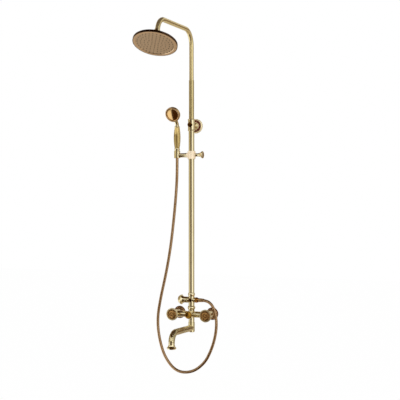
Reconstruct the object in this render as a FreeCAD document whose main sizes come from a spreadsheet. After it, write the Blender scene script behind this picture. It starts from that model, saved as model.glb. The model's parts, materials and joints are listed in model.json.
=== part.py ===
import FreeCAD, Part
import Sketcher
import math
import os
import re

# A wall-mounted shower column with a rain head, a telephone handset and a bath spout.
#
# Frame: the wall is the plane Y = 0 and the column stands in front of it, towards -Y.
# +Z is up, X = 0 is the column's own plane, and the origin is midway between the hot and
# cold inlets where they enter the wall. Hot is at -X. All sizes are in millimetres and degrees.

SIZES = {
    # how the whole column stands
    "inlet_spacing": 150.0, "column_reach": 50.0,
    "fit_gap": 0.05, "part_gap": 0.3, "soft_edge": 1.4,
    # wall unions, their washers, the flanges over them and the mixer's union nuts
    "thread_radius": 10.48, "stub_length": 14.0, "union_radius": 12.0, "union_face_radius": 13.0,
    "union_face_length": 8.0, "union_bore": 7.0, "washer_thickness": 2.0,
    "flange_radius": 26.5, "flange_edge": 3.0, "flange_depth": 15.5, "flange_hub_radius": 15.0,
    "flange_shoulder": 7.0, "flange_bulge": 1.2, "flange_wall": 2.0,
    "nut_flats": 30.0, "nut_length": 17.0, "nut_shoulder": 4.5, "nut_chamfer": 1.2,
    "tail_radius": 10.4, "tail_length": 9.0, "lip_radius": 12.6, "lip_length": 2.5,
    # mixer body
    "bar_radius": 12.8, "chamber_radius": 15.5, "chamber_half": 15.0, "boss_radius": 14.0,
    "boss_reach": 31.0, "neck_radius": 12.3, "neck_top": 20.0, "pocket_radius": 9.0,
    "pocket_depth": 14.0, "waterway_radius": 7.0,
    "boss_cap_radius": 15.0, "boss_cap_length": 6.5, "boss_cap_dish": 1.6, "boss_cap_rim": 12.2,
    # ceramic-disc cartridges, their spindles and the handles
    "disc_bore": 3.5, "bonnet_flats": 22.0, "bonnet_length": 5.0, "guide_radius": 5.5, "guide_length": 4.0,
    "spindle_radius": 3.5, "spindle_depth": 9.0,
    "skirt_radius": 17.0, "skirt_inner": 14.2, "skirt_depth": 9.5, "waist_radius": 21.5,
    "waist_height": 8.0, "handle_radius": 26.0, "handle_rim_height": 13.5, "handle_length": 19.0,
    "handle_cove": 1.2, "face_radius": 21.5, "face_seat_depth": 3.0, "face_rise": 1.8,
    "screw_radius": 2.0, "screw_head_radius": 3.8, "screw_head_length": 2.6, "screw_length": 12.0,
    # diverter, its knob and the hose outlet
    "base_ring_radius": 15.9, "base_ring_length": 16.0,
    "spigot_radius": 9.5, "diverter_radius": 12.3, "diverter_length": 40.0,
    "diverter_height": 60.5, "side_port_radius": 11.0, "side_port_reach": 15.0,
    "front_port_radius": 6.6, "front_port_reach": 14.5, "front_cap_radius": 7.5,
    "front_cap_length": 3.5, "front_cap_dome": 1.0,
    "diverter_pocket_radius": 7.0, "diverter_pocket_depth": 14.0,
    "bonnet_ring_radius": 12.6, "bonnet_ring_length": 5.0, "bonnet_stem_radius": 5.5,
    "knob_gap": 0.4, "knob_neck_radius": 12.6, "knob_neck_length": 8.0, "knob_radius": 20.9,
    "knob_widest": 24.0, "knob_length": 36.5, "knob_end_radius": 13.5, "knob_cove": 2.6,
    "knob_crown": 0.8, "knob_bore_depth": 28.0,
    "outlet_cone_radius": 8.6, "outlet_cone_length": 3.0, "outlet_spigot_radius": 6.2,
    "outlet_thread_depth": 6.0,
    "outlet_nut_flats": 19.6, "outlet_nut_length": 15.0, "outlet_nut_hex": 10.0,
    "outlet_nut_tip": 8.4, "ferrule_radius": 8.0, "ferrule_tip_radius": 6.9, "ferrule_length": 22.0,
    "ferrule_straight": 7.3, "hose_insert": 15.0, "outlet_bore": 3.5,
    # riser tubes and the ring at the riser's foot
    "riser_radius": 12.0, "tube_wall": 1.6, "riser_ring_radius": 14.6, "riser_ring_length": 15.0,
    "upper_riser_radius": 10.75, "upper_riser_top": 981.0,
    # wall bracket
    "bracket_height": 794.0, "tee_radius": 14.7, "tee_half": 24.5, "tee_bead_radius": 16.0,
    "tee_bead_length": 4.0, "tee_port_radius": 9.5, "tee_port_reach": 17.0,
    "tee_socket_floor": 1.4,
    "tee_cap_radius": 10.2, "tee_cap_length": 4.0, "tee_cap_dome": 1.5,
    "post_radius": 7.5, "post_spigot_radius": 6.1, "post_boss_radius": 12.6,
    "post_boss_front": 19.0, "post_boss_dome": 2.4,
    "post_foot_radius": 10.0, "plate_radius": 22.0, "plate_thickness": 2.0, "screw_head_room": 2.6,
    "plate_hole_radius": 2.6, "plate_hole_circle": 34.0, "rosette_radius": 30.5,
    "rosette_depth": 9.0, "rosette_edge": 3.0, "rosette_channel_outer": 25.5,
    "rosette_channel_inner": 15.5, "rosette_channel_depth": 2.8, "rosette_roll": 1.3,
    # gooseneck arm
    "arm_radius": 9.3, "arm_wall": 1.4, "arm_insert": 110.0, "arm_corner_height": 1188.0,
    "arm_forward": 312.0, "arm_drop": 18.0, "arm_back_bend": 58.0, "arm_front_bend": 60.0,
    "arm_end_length": 60.5, "head_lean": 20.0, "guide_ring_length": 12.0,
    # ball joint of the rain head
    "arm_nut_radius": 11.4, "arm_nut_overlap": 9.0, "arm_nut_length": 14.0, "arm_nut_edge": 1.5,
    "ball_radius": 10.0, "ball_offset": 12.5, "ball_neck_radius": 5.0, "ball_bore": 3.0,
    "seat_thickness": 1.7, "seat_up": 5.0, "seat_down": 7.5, "swivel_nut_radius": 16.0,
    "swivel_nut_up": 7.0, "swivel_nut_down": 12.5, "swivel_nut_edge": 2.0,
    "head_neck_radius": 13.4, "head_neck_down": 15.5,
    # rain head
    "head_radius": 86.0, "head_below_ball": 36.0, "head_rim_length": 8.0, "head_crown_radius": 30.0,
    "head_crown_rise": 9.0, "head_crown_cove": 0.8, "head_shoulder_rise": 2.6, "head_shoulder_radius": 78.0,
    "head_shell_wall": 1.6, "head_face_radius": 83.8, "head_face_thickness": 3.0,
    "head_face_lip": 1.2, "head_dish_radius": 73.5, "nozzle_pitch": 13.8, "nozzle_rings": 5.0,
    "nozzle_radius": 1.7, "nozzle_tip_radius": 1.0, "nozzle_length": 1.5,
    # slider on the riser, and the handset's holder
    "slider_height": 668.0, "bush_thickness": 1.1, "clamp_half": 16.5, "clamp_radius": 16.8,
    "clamp_cove": 1.3, "clamp_boss_radius": 10.2, "clamp_boss_reach": 20.0,
    "clamp_knob_boss_reach": 17.5, "slider_stud_radius": 3.0, "slider_knob_neck": 6.7,
    "slider_knob_radius": 15.4, "slider_knob_waist": 8.0, "slider_knob_length": 34.0,
    "slider_knob_cove": 2.6, "slider_knob_dome": 2.0, "slider_knob_edge": 2.6,
    "holder_pin_radius": 5.0, "holder_bar_radius": 9.6,
    "holder_bar_waist": 0.6, "cup_offset": 66.0,
    "cup_radius": 12.7, "cup_rim_radius": 13.6, "cup_rim_length": 3.0, "cup_above": 20.0,
    "cup_below": 11.0, "cup_slot_width": 13.4, "cup_wall": 2.2, "nut_taper": 1.5,
    # telephone handset
    "cone_nut_extra": 2.0, "cone_nut_bore": 5.0, "lower_collar_length": 9.0,
    "lower_collar_bulge": 1.4, "grip_length": 87.0, "grip_end_radius": 10.4, "grip_bulge": 3.9,
    "flute_count": 12.0, "flute_radius": 3.6, "flute_depth": 1.3,
    "upper_collar_length": 5.0, "upper_collar_bulge": 1.2, "handset_neck_radius": 7.8,
    "handset_neck_straight": 9.0, "handset_neck_forward": 31.0, "handset_neck_rise": 30.0,
    "handset_neck_bend": 20.0, "handset_lean": 27.0, "handset_head_forward": 49.0,
    "handset_head_rise": 43.0, "handset_head_radius": 32.0, "handset_head_depth": 21.0,
    "handset_rim_length": 6.0, "handset_back_radius": 12.0, "handset_back_bulge": 6.5,
    "handset_hollow_bulge": 3.2,
    "handset_shell_wall": 2.0, "bezel_width": 6.4, "bezel_depth": 4.0, "bezel_bulge": 1.3,
    "handset_face_rise": 5.0, "handset_face_edge": 2.0,
    # swivelling bath spout on the mixer's leg
    "leg_radius": 12.3, "leg_length": 33.0, "leg_core_radius": 9.0, "sleeve_radius": 13.6,
    "sleeve_bottom": 71.0, "leg_cap_radius": 13.0, "leg_cap_length": 3.0,
    "spout_axis": 57.0, "spout_rise": 1.8, "spout_reach": 199.0,
    "spout_radius": 12.2, "spout_bore": 9.0, "spout_bend": 37.0, "spout_drop": 37.5,
    "tip_radius": 19.6, "tip_length": 26.0, "tip_neck_radius": 12.9, "tip_neck_length": 3.0,
    "tip_bottom_radius": 15.5, "tip_flare_height": 5.5, "tip_cove": 2.6, "tip_edge": 1.6,
    "aerator_radius": 10.0, "aerator_length": 7.0, "aerator_recess": 1.0,
    # hose
    "hose_radius": 6.0,
}

# Sizes and places that follow from the ones above.
WORKED_OUT = {
    "half_spacing": "inlet_spacing / 2",
    "chamber_back": "column_reach - chamber_half",
    "chamber_front": "column_reach + chamber_half",
    "union_length": "chamber_back - tail_length - washer_thickness",
    "nut_front": "chamber_back - tail_length + lip_length + nut_shoulder",
    "nut_bore": "union_face_radius + fit_gap",
    "boss_front": "column_reach + boss_reach",
    "spindle_back": "chamber_front - spindle_depth",
    "guide_front": "chamber_front + bonnet_length + guide_length",
    "handle_back": "chamber_front + part_gap",
    "handle_bore_back": "handle_back + skirt_depth",
    "face_seat": "handle_back + handle_length - face_seat_depth",
    "diverter_bottom": "neck_top + base_ring_length",
    "diverter_top": "diverter_bottom + diverter_length",
    "ring_split": "neck_top + base_ring_length / 2",
    "knob_start": "side_port_reach + bonnet_ring_length + knob_gap",
    "outlet_start": "side_port_reach",
    "outlet_nut_start": "outlet_start + outlet_cone_length",
    "ferrule_start": "outlet_nut_start + outlet_nut_length",
    "ferrule_end": "ferrule_start + ferrule_length",
    "hose_start": "ferrule_end - hose_insert",
    "riser_bore": "riser_radius - tube_wall",
    "tee_bottom": "bracket_height - tee_half",
    "tee_top": "bracket_height + tee_half",
    "tee_front": "column_reach + tee_port_reach",
    "tee_back": "column_reach - tee_port_reach",
    "post_end": "column_reach - riser_radius - tee_socket_floor",
    "boss_foot": "plate_thickness + screw_head_room",
    "arm_bottom": "upper_riser_top - arm_insert",
    "lean_forward": "sin(head_lean * 1 deg)",
    "lean_down": "cos(head_lean * 1 deg)",
    "arm_end_y": "0 - column_reach - arm_forward",
    "arm_end_z": "arm_corner_height - arm_drop",
    "arm_nut_along": "arm_end_length - arm_nut_overlap",
    "ball_along": "arm_nut_along + arm_nut_length + ball_offset",
    "ball_y": "arm_end_y - lean_forward * ball_along",
    "ball_z": "arm_end_z - lean_down * ball_along",
    "cavity_radius": "ball_radius + part_gap + seat_thickness + part_gap",
    "head_face_z": "0 - head_below_ball",
    "head_rim_top": "head_face_z + head_rim_length",
    "head_crown_z": "head_rim_top + head_shoulder_rise + head_crown_rise",
    "dish_z": "head_face_z + head_face_lip",
    "face_back_z": "dish_z + head_face_thickness",
    "bush_radius": "riser_radius + fit_gap + bush_thickness",
    "cup_top": "slider_height + cup_above",
    "cup_bottom": "slider_height - cup_below",
    "cone_top_radius": "cup_radius - cup_wall",
    "cone_nut_top": "cup_top + cone_nut_extra",
    "grip_bottom": "cone_nut_top + lower_collar_length",
    "grip_top": "grip_bottom + grip_length",
    "neck_bottom": "grip_top + upper_collar_length",
    "grip_arc": "(grip_length^2 / 4 + grip_bulge^2) / (2 * grip_bulge)",
    "grip_widest": "grip_end_radius + grip_bulge",
    "leg_split": "0 - leg_length / 2",
    "leg_end": "0 - sleeve_bottom - part_gap",
    "handset_head_y": "0 - column_reach - handset_head_forward",
    "handset_head_z": "neck_bottom + handset_head_rise",
    "handset_back_z": "0 - handset_head_depth",
    "bezel_inner": "handset_head_radius - bezel_width",
}

# The hose's route, as corner points (X, Y, Z) from the diverter's ferrule to the handset.
HOSE_ROUTE = [
    (40.0, -50.0, 60.5), (70.0, -50.0, 60.5), (94.0, -50.0, 42.0), (108.0, -50.5, 10.0),
    (114.0, -51.5, -36.0), (108.0, -52.5, -88.0), (91.0, -54.0, -144.0), (62.0, -55.5, -200.0),
    (6.0, -57.0, -243.0), (-66.0, -57.0, -246.0), (-120.0, -56.0, -190.0), (-148.0, -54.0, -112.0),
    (-158.0, -52.5, -26.0), (-142.0, -51.5, 66.0), (-116.0, -51.0, 172.0), (-94.0, -50.5, 292.0),
    (-78.0, -50.0, 430.0), (-69.0, -50.0, 530.0), (-66.0, -50.0, 600.0), (-66.0, -50.0, 657.0),
]
ARC_SHARE = 0.45

ALIAS = re.compile(r"\b[a-z]+(?:_[a-z]+)+\b")
X_AXIS, Y_AXIS, Z_AXIS = FreeCAD.Vector(1, 0, 0), FreeCAD.Vector(0, 1, 0), FreeCAD.Vector(0, 0, 1)
UPRIGHT, FORWARD = (Z_AXIS, "0"), (X_AXIS, "90")
LEFTWARD, RIGHTWARD = (Y_AXIS, "0 - 90"), (Y_AXIS, "90")
HEAD_TILT = (X_AXIS, "0 - head_lean")
HANDSET_TILT = (X_AXIS, "90 + handset_lean")
SPOUT_TILT = (X_AXIS, "90 - spout_rise")

doc = FreeCAD.newDocument("ShowerColumn")
sheet = doc.addObject("Spreadsheet::Sheet", "Sizes")
for row, (alias, value) in enumerate(SIZES.items(), start=1):
    sheet.set(f"A{row}", alias)
    sheet.set(f"B{row}", str(value))
    sheet.setAlias(f"B{row}", alias)
doc.recompute()
nodes = []


def bound(text):
    """The same expression with each name pointing at its cell, or at what it is worked out from."""
    def cell(match):
        name = match.group(0)
        return "(" + bound(WORKED_OUT[name]) + ")" if name in WORKED_OUT else "Sizes." + name
    return ALIAS.sub(cell, text)


def number(text):
    return float(sheet.evalExpression(bound(text)))


def place(thing, at, turn=UPRIGHT):
    """Stands a piece at a point, with its own Z turned about one axis."""
    axis, angle = turn
    where = FreeCAD.Vector(*(number(text) for text in at))
    thing.Placement = FreeCAD.Placement(where, FreeCAD.Rotation(axis, number(angle)))
    for letter, text in zip("xyz", at):
        thing.setExpression(f".Placement.Base.{letter}", bound(text))
    if ALIAS.search(angle):
        thing.setExpression(".Placement.Rotation.Angle", f"({bound(angle)}) * 1 deg")
    return thing


def node(label, thing):
    """Marks a finished piece as a sub-part with this name."""
    thing.Label = label
    nodes.append(thing)
    return thing


def group(label, things):
    """One node that holds several identical pieces as separate solids."""
    bundle = doc.addObject("Part::Compound", label.title().replace("_", ""))
    bundle.Links = things
    return node(label, bundle)


def new_sketch(body, plane_role):
    sketch = body.newObject("Sketcher::SketchObject", body.Name + "Outline")
    plane = [f for f in body.Origin.OriginFeatures if f.Role == plane_role][0]
    sketch.AttachmentSupport = [(plane, "")]
    sketch.MapMode = "FlatFace"
    return sketch


def pin_point(sketch, edge, end, x_text, y_text):
    """Holds one end of an edge at a point given by two expressions."""
    if x_text == "0":
        sketch.addConstraint(Sketcher.Constraint("PointOnObject", edge, end, -2))
    else:
        held = sketch.addConstraint(
            Sketcher.Constraint("DistanceX", -1, 1, edge, end, number(x_text)))
        sketch.setExpression(f"Constraints[{held}]", bound(x_text))
    held = sketch.addConstraint(Sketcher.Constraint("DistanceY", -1, 1, edge, end, number(y_text)))
    sketch.setExpression(f"Constraints[{held}]", bound(y_text))


def arc_radius_text(start, end, bulge):
    """The radius of the arc that stands out by bulge from the chord between two points."""
    chord = f"((({end[0]}) - ({start[0]}))^2 + (({end[1]}) - ({start[1]}))^2)"
    return f"({chord} / (8 * ({bulge})) + ({bulge}) / 2)"


def cap_radius_text(start, end):
    """The radius of the spherical cap whose half outline runs between the axis and a rim."""
    rise = f"(({end[1]}) - ({start[1]}))"
    return f"(((({end[0]}) - ({start[0]}))^2 + {rise}^2) / (2 * abs({rise})))"


def rounded(edge):
    """How far a quarter round bulges when it is drawn as one soft arc over an edge of this size."""
    return f"({edge}) / 4"


def arc_between(start, end, radius, outward):
    """The arc from start to end, bulging to the right of the way (outward) or to its left."""
    chord = end - start
    middle = (start + end) * 0.5
    left = FreeCAD.Vector(-chord.y, chord.x, 0).normalize()
    rise = math.sqrt(max(radius ** 2 - (chord.Length / 2) ** 2, 0.0))
    centre = middle + left * (rise if outward else -rise)
    first, last = (start, end) if outward else (end, start)
    angles = [math.atan2(p.y - centre.y, p.x - centre.x) for p in (first, last)]
    if angles[1] < angles[0]:
        angles[1] += 2 * math.pi
    return Part.ArcOfCircle(Part.Circle(centre, Z_AXIS, radius), *angles)


def outline(sketch, points):
    """A closed outline. A third item bulges the side that arrives at a point: + out, - in. The
    word cap makes that side part of a sphere with its centre on the axis."""
    places = [FreeCAD.Vector(number(p[0]), number(p[1]), 0) for p in points]
    ends = []
    for index, point in enumerate(points):
        start, end = places[index - 1], places[index]
        if len(point) == 2:
            edge = sketch.addGeometry(Part.LineSegment(start, end))
            ends.append((edge, 1, 2))
            continue
        outward = not point[2].startswith("-")
        bulge = point[2].lstrip("-")
        text = (cap_radius_text(points[index - 1], point) if bulge == "cap"
                else arc_radius_text(points[index - 1], point, bulge))
        edge = sketch.addGeometry(arc_between(start, end, number(text), outward))
        ends.append((edge, 1, 2) if outward else (edge, 2, 1))
        held = sketch.addConstraint(Sketcher.Constraint("Radius", edge, number(text)))
        sketch.setExpression(f"Constraints[{held}]", bound(text))
    for index, point in enumerate(points):
        edge, _, last = ends[index]
        following, first, _ = ends[(index + 1) % len(points)]
        sketch.addConstraint(Sketcher.Constraint("Coincident", edge, last, following, first))
        pin_point(sketch, edge, last, point[0], point[1])


def turned(name, points, at=("0", "0", "0"), turn=UPRIGHT):
    """A lathe-turned piece: its half section, as (radius, height) points, spun about its own Z."""
    body = doc.addObject("PartDesign::Body", name)
    sketch = new_sketch(body, "XZ_Plane")
    outline(sketch, points)
    spin = body.newObject("PartDesign::Revolution", name + "Spin")
    spin.Profile = sketch
    spin.ReferenceAxis = (sketch, ["V_Axis"])
    spin.Angle = 360
    return place(body, at, turn)


def rod(name, radius, low, high, at=("0", "0", "0"), turn=UPRIGHT):
    """A plain cylinder between two heights, as a Part primitive."""
    cylinder = doc.addObject("Part::Cylinder", name)
    cylinder.setExpression("Radius", bound(radius))
    cylinder.setExpression("Height", bound(f"({high}) - ({low})"))
    axis, angle = turn
    along = FreeCAD.Rotation(axis, number(angle)).multVec(Z_AXIS)
    shifted = [f"{text} + ({low}) * ({round(part)})" if round(part) else text
               for text, part in zip(at, along)]
    return place(cylinder, shifted, turn)


def ball(name, radius, at, turn=UPRIGHT):
    sphere = doc.addObject("Part::Sphere", name)
    sphere.setExpression("Radius", bound(radius))
    return place(sphere, at, turn)


def joined(name, pieces):
    union = doc.addObject("Part::MultiFuse", name)
    union.Shapes = pieces
    union.Refine = True
    return union


def without(name, base, tools):
    """The base with the tools cut away."""
    tool = tools[0] if len(tools) == 1 else joined(name + "Tools", tools)
    cut = doc.addObject("Part::Cut", name)
    cut.Base, cut.Tool = base, tool
    cut.Refine = True
    return cut


def shared(name, pieces):
    common = doc.addObject("Part::MultiCommon", name)
    common.Shapes = pieces
    common.Refine = True
    return common


def tube_points(outer, bore, low, high):
    return [(bore, low), (outer, low), (outer, high), (bore, high)]


def hex_bar(name, flats, low, high, at, turn):
    """A hexagonal bar between two heights along the turned Z."""
    prism = doc.addObject("Part::Prism", name)
    prism.Polygon = 6
    prism.setExpression("Circumradius", bound(f"({flats}) / 2 / cos(30 deg)"))
    prism.setExpression("Height", bound(f"({high}) - ({low})"))
    axis, angle = turn
    along = FreeCAD.Rotation(axis, number(angle)).multVec(Z_AXIS)
    shifted = [f"{text} + ({low}) * ({round(part)})" if round(part) else text
               for text, part in zip(at, along)]
    return place(prism, shifted, turn)


def bent_pipe(name, route, bends, outer, bore, at, turn):
    """A bent tube that starts along its own Z. The route's points are (Y, Z), with a bend radius
    at each inner point."""
    body = doc.addObject("PartDesign::Body", name)
    ring = new_sketch(body, "XY_Plane")
    for radius in (outer, bore):
        circle = ring.addGeometry(Part.Circle(FreeCAD.Vector(), Z_AXIS, number(radius)))
        ring.addConstraint(Sketcher.Constraint("Coincident", circle, 3, -1, 1))
        held = ring.addConstraint(Sketcher.Constraint("Radius", circle, number(radius)))
        ring.setExpression(f"Constraints[{held}]", bound(radius))
    spine = new_sketch(body, "YZ_Plane")
    points = [FreeCAD.Vector(number(y), number(z), 0) for y, z in route]
    starts, stops, arcs = [points[0]], [], []
    for before, corner, after, radius in zip(points, points[1:], points[2:], bends):
        back, ahead = (before - corner).normalize(), (after - corner).normalize()
        half = back.getAngle(ahead) / 2
        trim = number(radius) / math.tan(half)
        stops.append(corner + back * trim)
        starts.append(corner + ahead * trim)
        centre = corner + (back + ahead).normalize() * (number(radius) / math.sin(half))
        clockwise = back.cross(ahead).z > 0
        arcs.append((stops[-1], starts[-1], centre, number(radius), clockwise))
    stops.append(points[-1])
    lines = [spine.addGeometry(Part.LineSegment(a, b)) for a, b in zip(starts, stops)]
    spine.addConstraint(Sketcher.Constraint("Coincident", lines[0], 1, -1, 1))
    pin_point(spine, lines[-1], 2, *route[-1])
    for index, (first, last, centre, radius, clockwise) in enumerate(arcs):
        low, high = (last, first) if clockwise else (first, last)
        angles = [math.atan2(p.y - centre.y, p.x - centre.x) for p in (low, high)]
        if angles[1] < angles[0]:
            angles[1] += 2 * math.pi
        arc = spine.addGeometry(Part.ArcOfCircle(Part.Circle(centre, Z_AXIS, radius), *angles))
        enter, leave = (2, 1) if clockwise else (1, 2)
        spine.addConstraint(Sketcher.Constraint("Tangent", lines[index], 2, arc, enter))
        spine.addConstraint(Sketcher.Constraint("Tangent", arc, leave, lines[index + 1], 1))
        held = spine.addConstraint(Sketcher.Constraint("Radius", arc, radius))
        spine.setExpression(f"Constraints[{held}]", bound(bends[index]))
        corner = spine.addGeometry(Part.Point(points[index + 1]), True)
        pin_point(spine, corner, 1, *route[index + 1])
        for line in (lines[index], lines[index + 1]):
            spine.addConstraint(Sketcher.Constraint("PointOnObject", corner, 1, line))
    pipe = body.newObject("PartDesign::AdditivePipe", name + "Sweep")
    pipe.Profile = ring
    pipe.Spine = (spine, [f"Edge{1 + edge}" for edge in range(len(lines) + len(arcs))])
    return place(body, at, turn)


def side_x(side):
    """The X of one inlet: side is -1 for hot, +1 for cold."""
    return f"{side} * half_spacing"


def wall_union(word, side):
    """The threaded union between the wall and the mixer."""
    return turned(word + "Union", [
        ("union_bore", "0 - stub_length"), ("thread_radius", "0 - stub_length"),
        ("thread_radius", "0"), ("union_radius", "0"),
        ("union_radius", "union_length - union_face_length"),
        ("union_face_radius", "union_length - union_face_length"),
        ("union_face_radius", "union_length"), ("union_bore", "union_length"),
    ], (side_x(side), "0", "0"), FORWARD)


def wall_flange(word, side):
    """The bell-shaped flange that covers the wall around a union."""
    return turned(word + "Flange", [
        ("flange_radius - flange_wall", "0"), ("flange_radius", "0"),
        ("flange_radius", "flange_edge"),
        ("flange_hub_radius + flange_wall", "flange_shoulder", "flange_bulge"),
        ("flange_hub_radius", "flange_depth", "-flange_bulge"),
        ("union_radius + part_gap", "flange_depth"),
        ("union_radius + part_gap", "flange_shoulder - flange_wall"),
        ("flange_radius - flange_wall", "flange_edge - flange_wall"),
    ], (side_x(side), "0", "0"), FORWARD)


def union_nut(word, side):
    """The hexagonal nut that pulls the mixer's tail against the union's washer."""
    at = (side_x(side), "0", "0")
    blank = turned(word + "NutBlank", [
        ("nut_bore", "nut_front - nut_length"),
        ("nut_flats / 2", "nut_front - nut_length"),
        ("nut_flats / 2 / cos(30 deg)", "nut_front - nut_length + nut_chamfer"),
        ("nut_flats / 2 / cos(30 deg)", "nut_front - nut_chamfer"),
        ("nut_flats / 2", "nut_front"), ("tail_radius + fit_gap", "nut_front"),
        ("tail_radius + fit_gap", "nut_front - nut_shoulder"),
        ("nut_bore", "nut_front - nut_shoulder"),
    ], at, FORWARD)
    prism = hex_bar(word + "NutHex", "nut_flats", "nut_front - nut_length", "nut_front", at, FORWARD)
    return shared(word + "Nut", [blank, prism])


def union_washer(word, side):
    """The fibre washer squeezed between a union and the mixer's tail."""
    return turned(word + "Washer", tube_points(
        "lip_radius", "union_bore", "union_length", "union_length + washer_thickness",
    ), (side_x(side), "0", "0"), FORWARD)


def mixer_body():
    """The cast body: a bar, a valve chamber and threaded tail at each end, a front boss, a neck up
    to the diverter and a leg socket below."""
    axis_line = "0 - column_reach"
    pieces = [rod("Bar", "bar_radius", "0 - half_spacing", "half_spacing", ("0", axis_line, "0"),
                  RIGHTWARD)]
    holes = [rod("BarWay", "waterway_radius", "0 - half_spacing", "half_spacing",
                 ("0", axis_line, "0"), RIGHTWARD)]
    for word, side in (("Hot", -1), ("Cold", 1)):
        at = (side_x(side), "0", "0")
        pieces.append(turned(word + "Chamber", [
            ("0", "chamber_back - tail_length"), ("lip_radius", "chamber_back - tail_length"),
            ("lip_radius", "chamber_back - tail_length + lip_length"),
            ("tail_radius", "chamber_back - tail_length + lip_length"),
            ("tail_radius", "chamber_back"), ("chamber_radius", "chamber_back"),
            ("chamber_radius", "chamber_front"), ("0", "chamber_front"),
        ], at, FORWARD))
        holes.append(turned(word + "ChamberWay", [
            ("0", "chamber_back - tail_length"), ("waterway_radius", "chamber_back - tail_length"),
            ("waterway_radius", "chamber_front - pocket_depth"),
            ("pocket_radius", "chamber_front - pocket_depth"),
            ("pocket_radius", "chamber_front"), ("0", "chamber_front"),
        ], at, FORWARD))
    pieces.append(rod("Boss", "boss_radius", "column_reach", "boss_front", turn=FORWARD))
    pieces.append(turned("Neck", [
        ("0", "0"), ("neck_radius", "0"), ("neck_radius", "neck_top"),
        ("spigot_radius", "neck_top"), ("spigot_radius", "ring_split"), ("0", "ring_split"),
    ], ("0", axis_line, "0")))
    pieces.append(rod("LegSocket", "leg_radius", "leg_split", "0", ("0", axis_line, "0")))
    holes.append(rod("NeckWay", "waterway_radius", "leg_split", "ring_split",
                     ("0", axis_line, "0")))
    node("mixer_body", without("MixerBody", joined("MixerCasting", pieces), holes))
    node("mixer_front_cap", turned("BossCap", [
        ("0", "boss_front"), ("boss_cap_radius - soft_edge", "boss_front"),
        ("boss_cap_radius", "boss_front + soft_edge"),
        ("boss_cap_radius", "boss_front + boss_cap_length - soft_edge"),
        ("boss_cap_rim", "boss_front + boss_cap_length", rounded("soft_edge")),
        ("0", "boss_front + boss_cap_length - boss_cap_dish", "-cap"),
    ], turn=FORWARD))


def valve_cartridge(word, side):
    """The fixed brass body of one ceramic-disc valve, with its hexagonal bonnet."""
    at = (side_x(side), "0", "0")
    shell = turned(word + "CartridgeShell", [
        ("spindle_radius + fit_gap", "spindle_back"),
        ("pocket_radius - fit_gap", "spindle_back"),
        ("pocket_radius - fit_gap", "chamber_front"),
        ("bonnet_flats / 2 / cos(30 deg)", "chamber_front"),
        ("bonnet_flats / 2 / cos(30 deg)", "chamber_front + bonnet_length - nut_chamfer"),
        ("bonnet_flats / 2", "chamber_front + bonnet_length"),
        ("guide_radius", "chamber_front + bonnet_length"), ("guide_radius", "guide_front"),
        ("spindle_radius + fit_gap", "guide_front"),
    ], at, FORWARD)
    grip = joined(word + "CartridgeGrip", [
        hex_bar(word + "BonnetHex", "bonnet_flats", "chamber_front",
                "chamber_front + bonnet_length", at, FORWARD),
        rod(word + "BonnetBody", "pocket_radius", "spindle_back", "chamber_front", at, FORWARD),
        rod(word + "BonnetGuide", "guide_radius + fit_gap", "chamber_front", "guide_front",
            at, FORWARD),
    ])
    return shared(word + "Cartridge", [shell, grip])


def ceramic_disc(word, side):
    """The pierced ceramic disc at the bottom of a valve's pocket."""
    return turned(word + "Disc", tube_points(
        "pocket_radius - fit_gap", "disc_bore", "chamber_front - pocket_depth",
        "spindle_back - part_gap"), (side_x(side), "0", "0"), FORWARD)


def handle(word, side):
    """One valve's spindle, the handle on it, the screw that holds it and its decorated face."""
    at = (side_x(side), "0", "0")
    node(word + "_spindle", turned(word + "Spindle", [
        ("0", "spindle_back"), ("spindle_radius", "spindle_back"),
        ("spindle_radius", "face_seat - screw_head_length - part_gap"),
        ("screw_radius + fit_gap", "face_seat - screw_head_length - part_gap"),
        ("screw_radius + fit_gap", "face_seat - screw_length"),
        ("0", "face_seat - screw_length"),
    ], at, FORWARD))
    node(word + "_handle", turned(word + "Handle", [
        ("skirt_inner", "handle_back"), ("skirt_radius", "handle_back"),
        ("waist_radius", "handle_back + waist_height", "-handle_cove"),
        ("handle_radius", "handle_back + handle_rim_height"),
        ("handle_radius", "handle_back + handle_length - soft_edge"),
        ("handle_radius - soft_edge", "handle_back + handle_length", rounded("soft_edge")),
        ("face_radius + fit_gap", "handle_back + handle_length"),
        ("face_radius + fit_gap", "face_seat"), ("screw_head_radius + fit_gap", "face_seat"),
        ("screw_head_radius + fit_gap", "face_seat - screw_head_length"),
        ("spindle_radius + fit_gap", "face_seat - screw_head_length"),
        ("spindle_radius + fit_gap", "handle_bore_back"), ("skirt_inner", "handle_bore_back"),
    ], at, FORWARD))
    node(word + "_handle_screw", turned(word + "Screw", [
        ("0", "face_seat - screw_length + fit_gap"),
        ("screw_radius", "face_seat - screw_length + fit_gap"),
        ("screw_radius", "face_seat - screw_head_length"),
        ("screw_head_radius", "face_seat - screw_head_length"),
        ("screw_head_radius", "face_seat"), ("0", "face_seat"),
    ], at, FORWARD))
    node(word + "_handle_face", turned(word + "Face", [
        ("0", "face_seat"), ("face_radius", "face_seat"),
        ("face_radius", "handle_back + handle_length"),
        ("0", "handle_back + handle_length + face_rise", "cap"),
    ], at, FORWARD))


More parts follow.
